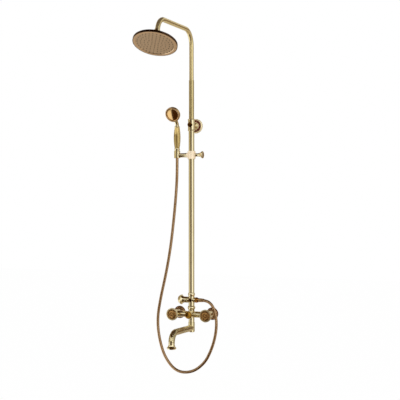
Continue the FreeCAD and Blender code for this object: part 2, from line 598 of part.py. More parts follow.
def diverter():
    """The diverter on the mixer's neck: body, ring below, caps, side knob and hose outlet."""
    axis_line = ("0", "0 - column_reach", "0")
    across = ("0", "0 - column_reach", "diverter_height")
    front = ("0", "0", "diverter_height")
    node("diverter_base_ring", turned("BaseRing", [
        ("spigot_radius + fit_gap", "neck_top"), ("neck_radius", "neck_top"),
        ("neck_radius", "diverter_bottom", "base_ring_radius - neck_radius"),
        ("spigot_radius + fit_gap", "diverter_bottom"),
    ], axis_line))
    casting = joined("DiverterCasting", [
        turned("DiverterBarrel", [
            ("0", "ring_split"), ("spigot_radius", "ring_split"),
            ("spigot_radius", "diverter_bottom"), ("diverter_radius", "diverter_bottom"),
            ("diverter_radius", "diverter_top"), ("spigot_radius", "diverter_top"),
            ("spigot_radius", "diverter_top + riser_ring_length"),
            ("0", "diverter_top + riser_ring_length"),
        ], axis_line),
        rod("SidePorts", "side_port_radius", "0 - side_port_reach", "side_port_reach",
            across, RIGHTWARD),
        rod("FrontPort", "front_port_radius", "column_reach", "column_reach + front_port_reach",
            front, FORWARD),
    ])
    node("diverter_body", without("DiverterBody", casting, [
        rod("DiverterWay", "waterway_radius", "ring_split", "diverter_top + riser_ring_length",
            axis_line),
        rod("DiverterPocket", "diverter_pocket_radius", "side_port_reach - diverter_pocket_depth",
            "side_port_reach", across, LEFTWARD),
        rod("OutletPocket", "outlet_spigot_radius + fit_gap", "0", "side_port_reach",
            across, RIGHTWARD),
    ]))
    node("diverter_front_cap", turned("FrontCap", [
        ("0", "column_reach + front_port_reach"),
        ("front_cap_radius", "column_reach + front_port_reach"),
        ("front_cap_radius", "column_reach + front_port_reach + front_cap_length"),
        ("0", "column_reach + front_port_reach + front_cap_length + front_cap_dome",
         "cap"),
    ], front, FORWARD))
    pocket_end = "side_port_reach - diverter_pocket_depth"
    node("diverter_cartridge", turned("DiverterCartridge", [
        ("spindle_radius + fit_gap", pocket_end), ("diverter_pocket_radius - fit_gap", pocket_end),
        ("diverter_pocket_radius - fit_gap", "side_port_reach"),
        ("bonnet_ring_radius", "side_port_reach"),
        ("bonnet_ring_radius", "side_port_reach + bonnet_ring_length"),
        ("bonnet_stem_radius", "side_port_reach + bonnet_ring_length"),
        ("bonnet_stem_radius", "knob_start + guide_length"),
        ("spindle_radius + fit_gap", "knob_start + guide_length"),
    ], across, LEFTWARD))
    node("diverter_spindle", turned("DiverterSpindle", [
        ("0", pocket_end), ("spindle_radius", pocket_end),
        ("spindle_radius", "knob_start + knob_bore_depth - fit_gap"),
        ("0", "knob_start + knob_bore_depth - fit_gap"),
    ], across, LEFTWARD))
    node("diverter_knob", turned("DiverterKnob", [
        ("bonnet_stem_radius + part_gap", "knob_start"), ("knob_neck_radius", "knob_start"),
        ("knob_neck_radius", "knob_start + knob_neck_length"),
        ("knob_radius", "knob_start + knob_widest", "-knob_cove"),
        ("knob_end_radius", "knob_start + knob_length", "knob_crown"),
        ("0", "knob_start + knob_length"), ("0", "knob_start + knob_bore_depth"),
        ("spindle_radius + fit_gap", "knob_start + knob_bore_depth"),
        ("spindle_radius + fit_gap", "knob_start + guide_length + part_gap"),
        ("bonnet_stem_radius + part_gap", "knob_start + guide_length + part_gap"),
    ], across, LEFTWARD))
    hose_outlet(across)


def hose_outlet(across):
    """The outlet on the diverter's right, the hose's nut on it and the ferrule that holds the hose."""
    nut_end = "ferrule_start"
    node("hose_outlet", turned("Outlet", [
        ("outlet_bore", "outlet_start - outlet_thread_depth"),
        ("outlet_spigot_radius", "outlet_start - outlet_thread_depth"),
        ("outlet_spigot_radius", "outlet_start"), ("side_port_radius - soft_edge", "outlet_start"),
        ("outlet_cone_radius", "outlet_nut_start"), ("outlet_spigot_radius", "outlet_nut_start"),
        ("outlet_spigot_radius", "outlet_nut_start + outlet_nut_hex"),
        ("outlet_bore", "outlet_nut_start + outlet_nut_hex"),
    ], across, RIGHTWARD))
    corner_radius = "outlet_nut_flats / 2 / cos(30 deg)"
    blank = turned("OutletNutBlank", [
        ("outlet_spigot_radius + fit_gap", "outlet_nut_start"),
        ("outlet_nut_flats / 2", "outlet_nut_start"),
        (corner_radius, "outlet_nut_start + nut_chamfer"),
        (corner_radius, "outlet_nut_start + outlet_nut_hex - nut_chamfer"),
        ("outlet_nut_flats / 2", "outlet_nut_start + outlet_nut_hex"),
        ("outlet_nut_tip", nut_end), ("outlet_bore", nut_end),
        ("outlet_bore", "outlet_nut_start + outlet_nut_hex + fit_gap"),
        ("outlet_spigot_radius + fit_gap", "outlet_nut_start + outlet_nut_hex + fit_gap"),
    ], across, RIGHTWARD)
    prism = hex_bar("OutletNutHex", "outlet_nut_flats", "outlet_nut_start", nut_end,
                    across, RIGHTWARD)
    node("hose_outlet_nut", shared("OutletNut", [blank, prism]))
    node("hose_ferrule", turned("Ferrule", [
        ("outlet_bore", "ferrule_start"), ("ferrule_radius", "ferrule_start"),
        ("ferrule_radius", "ferrule_start + ferrule_straight"),
        ("ferrule_tip_radius", "ferrule_end"), ("hose_radius + fit_gap", "ferrule_end"),
        ("hose_radius + fit_gap", "hose_start"), ("outlet_bore", "hose_start"),
    ], across, RIGHTWARD))


def riser_tubes():
    """The riser from the diverter to the wall bracket, and the wider part of its telescope above."""
    axis_line = ("0", "0 - column_reach", "0")
    node("riser_ring", turned("RiserRing", [
        ("riser_radius + fit_gap", "diverter_top"), ("diverter_radius", "diverter_top"),
        ("diverter_radius", "diverter_top + riser_ring_length",
         "riser_ring_radius - diverter_radius"),
        ("riser_radius + fit_gap", "diverter_top + riser_ring_length"),
    ], axis_line))
    node("lower_riser", turned("LowerRiser", tube_points(
        "riser_radius", "riser_bore", "diverter_top", "bracket_height"), axis_line))
    node("upper_riser", turned("UpperRiser", tube_points(
        "upper_riser_radius", "arm_radius + part_gap", "bracket_height",
        "upper_riser_top"), axis_line))


def wall_bracket():
    """The tee that grips the riser, its post, and the carved rosette over the wall plate."""
    axis_line = ("0", "0 - column_reach", "0")
    level = ("0", "0", "bracket_height")
    sleeve = turned("TeeSleeve", [
        ("0", "tee_bottom"), ("tee_radius", "tee_bottom"),
        ("tee_radius", "tee_bottom + tee_bead_length", "tee_bead_radius - tee_radius"),
        ("tee_radius", "tee_top - tee_bead_length"),
        ("tee_radius", "tee_top", "tee_bead_radius - tee_radius"), ("0", "tee_top"),
    ], axis_line)
    port = rod("TeePort", "tee_port_radius", "tee_back", "tee_front", level, FORWARD)
    node("bracket_tee", without("Tee", joined("TeeCasting", [sleeve, port]), [
        rod("TeeLowerBore", "riser_radius + fit_gap", "tee_bottom", "bracket_height", axis_line),
        rod("TeeUpperBore", "upper_riser_radius + fit_gap", "bracket_height", "tee_top", axis_line),
        rod("TeeSocket", "post_spigot_radius + fit_gap", "tee_back", "post_end", level, FORWARD),
    ]))
    node("bracket_front_cap", turned("TeeCap", [
        ("0", "tee_front"), ("tee_cap_radius", "tee_front"),
        ("tee_cap_radius", "tee_front + tee_cap_length - tee_cap_dome"),
        ("0", "tee_front + tee_cap_length", "cap"),
    ], level, FORWARD))
    node("bracket_post", turned("Post", [
        ("0", "plate_thickness"), ("post_foot_radius", "plate_thickness"),
        ("post_foot_radius", "boss_foot"), ("post_boss_radius", "boss_foot"),
        ("post_boss_radius", "post_boss_front - post_boss_dome"),
        ("post_radius", "post_boss_front", rounded("post_boss_dome")), ("post_radius", "tee_back"),
        ("post_spigot_radius", "tee_back"), ("post_spigot_radius", "post_end - fit_gap"),
        ("0", "post_end - fit_gap"),
    ], level, FORWARD))
    plate = turned("PlateDisc", [
        ("0", "0"), ("plate_radius", "0"), ("plate_radius", "plate_thickness"),
        ("0", "plate_thickness"),
    ], level, FORWARD)
    screw_holes = [
        rod(word + "PlateHole", "plate_hole_radius", "0", "plate_thickness",
            (f"{side} * plate_hole_circle / 2", "0", "bracket_height"), FORWARD)
        for word, side in (("Left", -1), ("Right", 1))
    ]
    node("bracket_wall_plate", without("WallPlate", plate, screw_holes))
    node("bracket_rosette", turned("Rosette", [
        ("plate_radius + part_gap", "0"), ("rosette_radius", "0"),
        ("rosette_radius", "rosette_edge"),
        ("rosette_channel_outer", "rosette_depth", "rosette_roll"),
        ("rosette_channel_outer", "rosette_depth - rosette_channel_depth"),
        ("rosette_channel_inner", "rosette_depth - rosette_channel_depth"),
        ("rosette_channel_inner", "rosette_depth"),
        ("post_boss_radius + fit_gap", "rosette_depth"),
        ("post_boss_radius + fit_gap", "boss_foot"), ("plate_radius + part_gap", "boss_foot"),
    ], level, FORWARD))


def gooseneck():
    """The bent arm, its guide ring in the riser, and the nut and ball at its end."""
    foot = ("0", "0 - column_reach", "arm_bottom")
    rise = "arm_corner_height - arm_bottom"
    node("arm", bent_pipe("Arm", [
        ("0", "0"), ("0", rise), ("0 - arm_forward", f"{rise} - arm_drop"),
        ("0 - arm_forward - arm_end_length * lean_forward",
         f"{rise} - arm_drop - arm_end_length * lean_down"),
    ], ["arm_back_bend", "arm_front_bend"], "arm_radius", "arm_radius - arm_wall", foot, UPRIGHT))
    node("arm_guide_ring", turned("GuideRing", tube_points(
        "arm_radius + part_gap - fit_gap", "arm_radius - arm_wall",
        "0 - guide_ring_length", "0 - fit_gap"), foot))
    at = ("0", "ball_y", "ball_z")
    nut_top = "ball_along - arm_nut_along"
    node("arm_end_nut", turned("ArmNut", [
        ("ball_neck_radius + fit_gap", "ball_offset"),
        ("arm_nut_radius - arm_nut_edge", "ball_offset"),
        ("arm_nut_radius", "ball_offset + arm_nut_edge"),
        ("arm_nut_radius", f"{nut_top} - arm_nut_edge"),
        ("arm_nut_radius - arm_nut_edge", nut_top), ("arm_radius + fit_gap", nut_top),
        ("arm_radius + fit_gap", "ball_along - arm_end_length"),
        ("ball_neck_radius + fit_gap", "ball_along - arm_end_length"),
    ], at, HEAD_TILT))
    ball_and_neck = joined("BallAndNeck", [
        ball("BallSphere", "ball_radius", at, HEAD_TILT),
        turned("BallNeck", tube_points("ball_neck_radius", "ball_bore", "0",
                                       "ball_along - arm_end_length"), at, HEAD_TILT),
    ])
    node("swivel_ball", without("SwivelBall", ball_and_neck, [
        turned("BallWay", [
            ("0", "0 - ball_radius"), ("ball_bore", "0 - ball_radius"),
            ("ball_bore", "ball_along - arm_end_length"), ("0", "ball_along - arm_end_length"),
        ], at, HEAD_TILT),
    ]))
    seat_ring = turned("SeatBlank", tube_points(
        "cavity_radius", "ball_bore", "0 - seat_down", "seat_up"), at, HEAD_TILT)
    shell = shared("SeatShell", [
        seat_ring, ball("SeatOuter", "cavity_radius - part_gap", at, HEAD_TILT)])
    node("swivel_seat", without("SwivelSeat", shell, [
        ball("SeatInner", "ball_radius + part_gap", at, HEAD_TILT)]))


def rain_head():
    """The swivel nut, the pressed shell, the face plate and the rubber nozzles in rings."""
    at = ("0", "ball_y", "ball_z")
    nut = turned("SwivelNutBlank", [
        ("head_neck_radius + fit_gap", "0 - swivel_nut_down"),
        ("swivel_nut_radius", "0 - swivel_nut_down"),
        ("swivel_nut_radius", "swivel_nut_up - swivel_nut_edge"),
        ("swivel_nut_radius - swivel_nut_edge", "swivel_nut_up", rounded("swivel_nut_edge")),
        ("ball_neck_radius + part_gap", "swivel_nut_up"),
        ("ball_neck_radius + part_gap", "0"), ("head_neck_radius + fit_gap", "0"),
    ], at, HEAD_TILT)
    node("swivel_nut", without("SwivelNut", nut, [
        ball("NutCavity", "cavity_radius", at, HEAD_TILT)]))
    neck = turned("HeadBlank", [
        ("0", "0 - head_neck_down"), ("head_neck_radius", "0 - head_neck_down"),
        ("head_neck_radius", "0 - part_gap"), ("0", "0 - part_gap"),
    ], at, HEAD_TILT)
    shell = turned("HeadDish", [
        ("0", "head_crown_z - head_shell_wall"),
        ("head_crown_radius", "head_crown_z - head_shell_wall - head_crown_rise / 2",
         "-cap"),
        ("head_shoulder_radius", "head_rim_top - head_shell_wall", "-head_shoulder_rise"),
        ("head_face_radius + fit_gap", "head_rim_top - head_shell_wall"),
        ("head_face_radius + fit_gap", "head_face_z"), ("head_radius", "head_face_z"),
        ("head_radius", "head_rim_top"),
        ("head_shoulder_radius", "head_rim_top + head_shoulder_rise", "head_shell_wall"),
        ("head_crown_radius", "head_crown_z - head_crown_rise / 2", "head_shoulder_rise"),
        ("head_neck_radius", "0 - head_neck_down", "-head_crown_cove"),
        ("0", "0 - head_neck_down"),
    ], at, HEAD_TILT)
    node("rain_head_shell", without("HeadShell", joined("HeadCasting", [neck, shell]), [
        ball("NeckCavity", "cavity_radius", at, HEAD_TILT),
        turned("NeckWay", [
            ("0", "head_crown_z - head_crown_rise"), ("ball_bore", "head_crown_z - head_crown_rise"),
            ("ball_bore", "0"), ("0", "0"),
        ], at, HEAD_TILT),
    ]))
    node("rain_head_face", turned("HeadFace", [
        ("0", "dish_z"), ("head_dish_radius", "dish_z"),
        ("head_dish_radius + head_face_lip", "head_face_z"), ("head_face_radius", "head_face_z"),
        ("head_face_radius", "face_back_z"), ("0", "face_back_z"),
    ], at, HEAD_TILT))
    nozzles(at)


def nozzles(at):
    """The rubber nozzles: one at the centre and six more in each ring than in the last."""
    cones = []
    for ring in range(int(number("nozzle_rings")) + 1):
        count = max(1, 6 * ring)
        for index in range(count):
            turn = 360.0 * index / count
            cone = doc.addObject("Part::Cone", "Nozzle")
            cone.setExpression("Radius1", bound("nozzle_tip_radius"))
            cone.setExpression("Radius2", bound("nozzle_radius"))
            cone.setExpression("Height", bound("nozzle_length"))
            across = f"nozzle_pitch * {ring} * cos({turn} deg)"
            along = f"nozzle_pitch * {ring} * sin({turn} deg)"
            drop = "(dish_z - nozzle_length)"
            place(cone, (
                across,
                f"ball_y + ({along}) * lean_down + {drop} * lean_forward",
                f"ball_z - ({along}) * lean_forward + {drop} * lean_down",
            ), HEAD_TILT)
            cones.append(cone)
    group("rain_nozzles", cones)


def slider():
    """The slider: a bush on the riser, the clamp around it, its knob and the handset's holder."""
    axis_line = ("0", "0 - column_reach", "slider_height")
    node("slider_bush", turned("Bush", tube_points(
        "bush_radius", "riser_radius + fit_gap", "0 - clamp_half + part_gap",
        "clamp_half - part_gap"), axis_line))
    waist = "clamp_radius - clamp_cove"
    sleeve = turned("ClampSleeve", [
        ("0", "0 - clamp_half"), ("clamp_radius", "0 - clamp_half"),
        ("clamp_radius", "clamp_half", "-clamp_cove"), ("0", "clamp_half"),
    ], axis_line)
    bosses = rod("ClampBoss", "clamp_boss_radius", "0 - clamp_knob_boss_reach", "clamp_boss_reach",
                 axis_line, LEFTWARD)
    node("slider_clamp", without("Clamp", joined("ClampCasting", [sleeve, bosses]), [
        rod("ClampBore", "bush_radius + fit_gap", "0 - clamp_half", "clamp_half", axis_line),
        rod("ClampPinHole", "holder_pin_radius + fit_gap", f"{waist} - part_gap",
            "clamp_boss_reach", axis_line, LEFTWARD),
        rod("ClampStudHole", "slider_stud_radius + fit_gap", "bush_radius",
            "clamp_knob_boss_reach", axis_line, RIGHTWARD),
    ]))
    knob_base = "clamp_knob_boss_reach + part_gap"
    node("slider_knob", turned("SliderKnob", [
        ("0", "bush_radius + part_gap"), ("slider_stud_radius", "bush_radius + part_gap"),
        ("slider_stud_radius", knob_base), ("slider_knob_neck", knob_base),
        ("slider_knob_neck", f"{knob_base} + slider_knob_waist"),
        ("slider_knob_radius", f"{knob_base} + slider_knob_length - slider_knob_edge",
         "-slider_knob_cove"),
        ("slider_knob_radius - soft_edge", f"{knob_base} + slider_knob_length",
         rounded("soft_edge")),
        ("0", f"{knob_base} + slider_knob_length + slider_knob_dome", "cap"),
    ], axis_line, RIGHTWARD))
    holder(axis_line, waist)


def holder(axis_line, waist):
    """The arm that tilts in the clamp, and the slotted cup that the handset's cone nut sits in."""
    bar_start = "clamp_boss_reach + part_gap"
    node("holder_arm", turned("HolderArm", [
        ("0", waist), ("holder_pin_radius", waist), ("holder_pin_radius", bar_start),
        ("holder_bar_radius", bar_start),
        ("holder_bar_radius", "cup_offset - cup_radius + cup_wall", "-holder_bar_waist"),
        ("0", "cup_offset - cup_radius + cup_wall"),
    ], axis_line, LEFTWARD))
    at = ("0 - cup_offset", "0 - column_reach", "0")
    cup = turned("CupBlank", [
        ("cone_top_radius - nut_taper", "cup_bottom"), ("cup_radius", "cup_bottom"),
        ("cup_radius", "cup_top - cup_rim_length"),
        ("cup_radius", "cup_top", "cup_rim_radius - cup_radius"), ("cone_top_radius", "cup_top"),
    ], at)
    slot = doc.addObject("Part::Box", "CupSlot")
    slot.setExpression("Length", bound("cup_slot_width"))
    slot.setExpression("Width", bound("cup_rim_radius + part_gap"))
    slot.setExpression("Height", bound("cup_above + cup_below"))
    place(slot, ("0 - cup_offset - cup_slot_width / 2",
                 "0 - column_reach - cup_rim_radius - part_gap", "cup_bottom"))
    socket = rod("CupSocket", "holder_bar_radius + fit_gap", "0",
                 "cup_offset - cup_radius + cup_wall", axis_line, LEFTWARD)
    node("holder_cup", without("Cup", cup, [slot, socket]))


def handset():
    """The telephone handset: cone nut, collars, fluted grip, head shell, bezel and face."""
    at = ("0 - cup_offset", "0 - column_reach", "0")
    bottom_radius = "cone_top_radius - nut_taper - part_gap"
    node("hose_cone_nut", turned("ConeNut", [
        ("cone_nut_bore", "cup_bottom"), (bottom_radius, "cup_bottom"),
        ("cone_top_radius - part_gap", "cup_top"), ("cone_top_radius - part_gap", "cone_nut_top"),
        ("cone_nut_bore", "cone_nut_top"),
    ], at))
    node("handset_lower_collar", turned("LowerCollar", [
        ("cone_nut_bore", "cone_nut_top"), ("grip_end_radius", "cone_nut_top"),
        ("grip_end_radius", "grip_bottom", "lower_collar_bulge"),
        ("cone_nut_bore", "grip_bottom"),
    ], at))
    blank = turned("GripBlank", [
        ("cone_nut_bore", "grip_bottom"), ("grip_end_radius", "grip_bottom"),
        ("grip_end_radius", "grip_top", "grip_bulge"), ("cone_nut_bore", "grip_top"),
    ], at)
    node("handset_grip", without("Grip", blank, flutes()))
    node("handset_upper_collar", turned("UpperCollar", [
        ("cone_nut_bore", "grip_top"), ("grip_end_radius", "grip_top"),
        ("grip_end_radius", "neck_bottom", "upper_collar_bulge"), ("cone_nut_bore", "neck_bottom"),
    ], at))
    handset_head(at)


def flutes():
    """Cutters for the grip's flutes: rings bent like the grip's own barrel, set around it."""
    cutters = []
    count = int(number("flute_count"))
    sweep = "2 * asin((grip_length / 2 + flute_radius) / grip_arc) / 1 deg"
    for index in range(count):
        turn = 360.0 * index / count
        ring = doc.addObject("Part::Torus", "Flute")
        ring.setExpression("Radius1", bound("grip_arc + flute_radius - flute_depth"))
        ring.setExpression("Radius2", bound("flute_radius"))
        ring.setExpression("Angle3", bound(sweep))
        inward = "(grip_widest - grip_arc)"
        place(ring, (f"{inward} * cos({turn} deg) - cup_offset",
                     f"{inward} * sin({turn} deg) - column_reach",
                     "grip_bottom + grip_length / 2"))
        ring.Placement.Rotation = FreeCAD.Rotation(Z_AXIS, turn) * FreeCAD.Rotation(
            X_AXIS, 90) * FreeCAD.Rotation(Z_AXIS, 0 - number(sweep) / 2)
        cutters.append(ring)
    bundle = doc.addObject("Part::Compound", "Flutes")
    bundle.Links = cutters
    return [bundle]


def handset_head(at):
    """The handset's head leans forward on a bent neck that is one casting with the shell."""
    centre = ("0 - cup_offset", "handset_head_y", "handset_head_z")
    neck = bent_pipe("HandsetNeck", [
        ("0", "0"), ("0", "handset_neck_straight"),
        ("0 - handset_neck_forward", "handset_neck_straight + handset_neck_rise"),
    ], ["handset_neck_bend"], "handset_neck_radius", "cone_nut_bore",
        (at[0], at[1], "neck_bottom"), UPRIGHT)
    shell = turned("HandsetShell", [
        ("0", "handset_back_z"), ("handset_back_radius", "handset_back_z"),
        ("handset_head_radius", "0 - handset_rim_length", "handset_back_bulge"),
        ("handset_head_radius", "0 - bezel_depth"), ("0", "0 - bezel_depth"),
    ], centre, HANDSET_TILT)
    node("handset_head_shell", without("HandsetHeadShell", joined("HandsetCasting", [
        neck, shell]), [turned("HandsetHollow", [
            ("0", "handset_back_z + handset_shell_wall"),
            ("handset_back_radius", "handset_back_z + handset_shell_wall"),
            ("bezel_inner", "0 - handset_rim_length", "handset_hollow_bulge"),
            ("bezel_inner", "0"), ("0", "0"),
        ], centre, HANDSET_TILT)]))
    node("handset_bezel", turned("Bezel", [
        ("bezel_inner", "0 - bezel_depth"), ("handset_head_radius", "0 - bezel_depth"),
        ("handset_head_radius", "0 - bezel_bulge"),
        ("bezel_inner + bezel_bulge", "bezel_bulge", "bezel_bulge"), ("bezel_inner", "0"),
    ], centre, HANDSET_TILT))
    node("handset_face", turned("HandsetFace", [
        ("0", "0 - bezel_depth"), ("bezel_inner - fit_gap", "0 - bezel_depth"),
        ("bezel_inner - fit_gap", "0 - handset_face_edge"),
        ("0", "handset_face_rise - handset_face_edge", "cap"),
    ], centre, HANDSET_TILT))


def bath_spout():
    """The leg under the mixer, and the spout that turns on it, held up by a cap."""
    axis_line = ("0", "0 - column_reach", "0")
    node("leg", turned("Leg", [
        ("union_bore", "leg_end"),
        ("leg_core_radius", "leg_end"),
        ("leg_core_radius", "0 - leg_length"), ("leg_radius", "0 - leg_length"),
        ("leg_radius", "leg_split"), ("union_bore", "leg_split"),
    ], axis_line))
    node("leg_end_cap", turned("LegCap", [
        ("0", "leg_end - leg_cap_length"),
        ("leg_cap_radius - soft_edge", "leg_end - leg_cap_length"),
        ("leg_cap_radius", "leg_end - leg_cap_length / 2"),
        ("leg_cap_radius", "leg_end"),
        ("0", "leg_end"),
    ], axis_line))
    root = ("0", "0 - column_reach", "0 - spout_axis")
    pipe = bent_pipe("SpoutPipe", [
        ("0", "0"), ("0", "spout_reach"), ("0 - spout_drop", "spout_reach"),
    ], ["spout_bend"], "spout_radius", "spout_bore", root, SPOUT_TILT)
    sleeve = turned("SpoutSleeve", [
        ("0", "0 - sleeve_bottom"), ("sleeve_radius", "0 - sleeve_bottom"),
        ("sleeve_radius", "0 - leg_length - part_gap"), ("0", "0 - leg_length - part_gap"),
    ], axis_line)
    core = rod("SpoutBore", "leg_core_radius + fit_gap", "0 - sleeve_bottom",
               "0 - leg_length - part_gap", axis_line)
    node("spout", without("Spout", joined("SpoutCasting", [pipe, sleeve]), [core]))
    rise = "spout_rise * 1 deg"
    tip = ("0", f"0 - column_reach - spout_reach * cos({rise}) - spout_drop * sin({rise})",
           f"0 - spout_axis + spout_reach * sin({rise}) - spout_drop * cos({rise})")
    node("spout_tip", turned("Tip", [
        ("aerator_radius + fit_gap", "0 - tip_length"), ("tip_bottom_radius", "0 - tip_length"),
        ("tip_radius", "tip_flare_height - tip_length", rounded("tip_edge")),
        ("tip_neck_radius", "0 - tip_neck_length", "-tip_cove"), ("tip_neck_radius", "0"),
        ("spout_bore", "0"), ("spout_bore", "aerator_length + aerator_recess - tip_length"),
        ("aerator_radius + fit_gap", "aerator_length + aerator_recess - tip_length"),
    ], tip, (X_AXIS, "0 - spout_rise")))
    node("aerator", turned("Aerator", [
        ("0", "aerator_recess - tip_length"), ("aerator_radius", "aerator_recess - tip_length"),
        ("aerator_radius", "aerator_length + aerator_recess - tip_length"),
        ("0", "aerator_length + aerator_recess - tip_length"),
    ], tip, (X_AXIS, "0 - spout_rise")))


def hose():
    """The hose as straight runs joined by tangent arcs, each as large as its two runs allow."""
    points = [FreeCAD.Vector(*p) for p in HOSE_ROUTE]
    edges, start, radii = [], points[0], []
    for before, corner, after in zip(points, points[1:], points[2:]):
        back, ahead = before - corner, after - corner
        shorter = min(back.Length, ahead.Length)
        half_turn = (math.pi - back.getAngle(ahead)) / 2
        radius = ARC_SHARE * shorter / math.tan(half_turn)
        radii.append(radius)
        into = corner + back.normalize() * (ARC_SHARE * shorter)
        out = corner + ahead.normalize() * (ARC_SHARE * shorter)
        bisector = (back + ahead).normalize()
        centre = corner + bisector * (radius / math.cos(half_turn))
        middle = centre - bisector * radius
        edges += [Part.LineSegment(start, into).toShape(), Part.Arc(into, middle, out).toShape()]
        start = out
    edges.append(Part.LineSegment(start, points[-1]).toShape())
    path = Part.Wire(edges)
    section = Part.Wire(Part.Circle(points[0], points[1] - points[0], number("hose_radius")).toShape())
    tube = doc.addObject("Part::Feature", "Hose")
    tube.Shape = path.makePipeShell([section], True, False)
    node("shower_hose", tube)
    area = math.pi * number("hose_radius") ** 2
    print("hose radii", [round(r) for r in radii])
    print("hose length %.0f, volume over section times length %.4f"
          % (path.Length, tube.Shape.Volume / (area * path.Length)))


SIDES = (("hot", -1), ("cold", 1))
PAIRS = {
    "wall_unions": wall_union, "wall_flanges": wall_flange, "union_nuts": union_nut,
    "union_washers": union_washer, "valve_cartridges": valve_cartridge,
    "ceramic_discs": ceramic_disc,
}
for label, make in PAIRS.items():
    group(label, [make(word, side) for word, side in SIDES])
for word, side in SIDES:
    handle(word, side)
mixer_body()
diverter()
riser_tubes()
wall_bracket()
gooseneck()
rain_head()
slider()
handset()
bath_spout()
hose()
doc.recompute()

for thing in doc.Objects:
    if {"Invalid", "Error"} & set(thing.State):
        raise RuntimeError(f"{thing.Label} did not compute")
for piece in nodes:
    if piece.Shape.isNull() or not piece.Shape.isValid() or not piece.Shape.Solids:
        raise RuntimeError(f"{piece.Label} has no valid solid")

os.makedirs("parts", exist_ok=True)
for piece in nodes:
    piece.Shape.exportStep(f"parts/{piece.Label}.step")
print(len(nodes), "nodes written")
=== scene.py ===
import json
import math

import bmesh
import bpy
import numpy as np
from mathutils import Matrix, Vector


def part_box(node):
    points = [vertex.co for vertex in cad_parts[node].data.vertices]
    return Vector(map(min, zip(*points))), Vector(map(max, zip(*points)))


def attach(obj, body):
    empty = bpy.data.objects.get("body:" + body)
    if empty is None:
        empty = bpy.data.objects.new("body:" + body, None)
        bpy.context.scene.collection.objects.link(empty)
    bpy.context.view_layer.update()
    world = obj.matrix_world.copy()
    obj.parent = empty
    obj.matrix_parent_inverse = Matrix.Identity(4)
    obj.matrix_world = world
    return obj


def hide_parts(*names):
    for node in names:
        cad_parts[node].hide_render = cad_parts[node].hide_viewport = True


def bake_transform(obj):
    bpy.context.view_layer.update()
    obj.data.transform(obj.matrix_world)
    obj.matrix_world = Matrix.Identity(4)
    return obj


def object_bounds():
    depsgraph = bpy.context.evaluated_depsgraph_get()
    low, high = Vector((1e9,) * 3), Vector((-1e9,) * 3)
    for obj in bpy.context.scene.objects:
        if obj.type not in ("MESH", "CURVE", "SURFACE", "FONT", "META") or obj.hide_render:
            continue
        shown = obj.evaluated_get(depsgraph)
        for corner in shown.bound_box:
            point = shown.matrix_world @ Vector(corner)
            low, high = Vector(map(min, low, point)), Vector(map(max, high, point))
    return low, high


# Dresses the shower column: aged brass with carved relief, the ribbed hose, studio and camera.
# Everything is in metres, in the frame of the CAD: the wall is Y = 0 and +Z is up.

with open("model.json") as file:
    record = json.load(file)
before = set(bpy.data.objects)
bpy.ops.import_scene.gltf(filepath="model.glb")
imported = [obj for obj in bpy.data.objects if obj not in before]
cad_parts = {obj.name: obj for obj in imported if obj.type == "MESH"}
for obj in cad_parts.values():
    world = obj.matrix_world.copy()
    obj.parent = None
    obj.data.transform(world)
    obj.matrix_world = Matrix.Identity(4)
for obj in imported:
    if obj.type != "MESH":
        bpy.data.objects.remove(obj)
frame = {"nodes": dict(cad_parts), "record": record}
cad_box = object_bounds()
NODES = frame["nodes"]
TAU = 2 * math.pi
MM = 0.001
SIDES = ("hot", "cold")


def middle(node):
    """The middle of a node's box."""
    low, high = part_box(node)
    return (low + high) / 2


# ---------------------------------------------------------------- studio

RISER = Vector((0.0, -0.05, 0.0))           # the riser's axis
HEAD_LEAN = math.radians(20)                # how far the rain head turns to the front
CAMERA_AZIMUTH = math.radians(22.5)
CAMERA_DISTANCE = 3.2                       # level distance from the riser
CAMERA_HEIGHT = 0.429
CAMERA_SIDESTEP = 0.0357                    # how far right of the riser the camera stands
LENS, SENSOR = 68.6, 36.0
FRAME_RISE = 0.03                           # how far the frame is moved up, in frame widths


def add_camera():
    """A level camera to the right of the column, with its frame moved up a little, and colours
    shown as they are written."""
    sideways = Vector((math.cos(CAMERA_AZIMUTH), math.sin(CAMERA_AZIMUTH), 0))
    backwards = Vector((math.sin(CAMERA_AZIMUTH), -math.cos(CAMERA_AZIMUTH), 0))
    camera = bpy.data.objects.new("camera", bpy.data.cameras.new("camera"))
    bpy.context.scene.collection.objects.link(camera)
    camera.data.lens, camera.data.sensor_width = LENS, SENSOR
    camera.data.shift_y = FRAME_RISE
    camera.data.clip_end = 50
    camera.location = (RISER + backwards * CAMERA_DISTANCE + sideways * CAMERA_SIDESTEP
                       + Vector((0, 0, CAMERA_HEIGHT)))
    camera.rotation_euler = (math.radians(90), 0, CAMERA_AZIMUTH)
    bpy.context.scene.camera = camera
    bpy.context.scene.view_settings.view_transform = "Standard"


add_camera()


# ---------------------------------------------------------------- shader maths

class Wire:
    """A shader socket with Python's operators, each of which adds a Math node."""

    def __init__(self, graph, socket):
        self.graph, self.socket = graph, socket

    def maths(self, operation, *values):
        return self.graph.node("Math", dict(enumerate(values)), operation=operation)

    def __add__(self, other):
        return self.maths("ADD", self, other)

    def __radd__(self, other):
        return self.maths("ADD", other, self)

    def __sub__(self, other):
        return self.maths("SUBTRACT", self, other)

    def __rsub__(self, other):
        return self.maths("SUBTRACT", other, self)

    def __mul__(self, other):
        return self.maths("MULTIPLY", self, other)

    def __rmul__(self, other):
        return self.maths("MULTIPLY", other, self)

    def __pow__(self, other):
        return self.maths("POWER", self, other)

    def sin(self):
        return self.maths("SINE", self)

    def ramp(self, low, high):
        """0 below low, 1 above high, and a smooth step between them; falls where low > high."""
        return self.graph.node("MapRange", {
            "Value": self, "From Min": min(low, high), "From Max": max(low, high),
            "To Min": float(low > high), "To Max": float(low <= high),
        }, interpolation_type="SMOOTHSTEP")


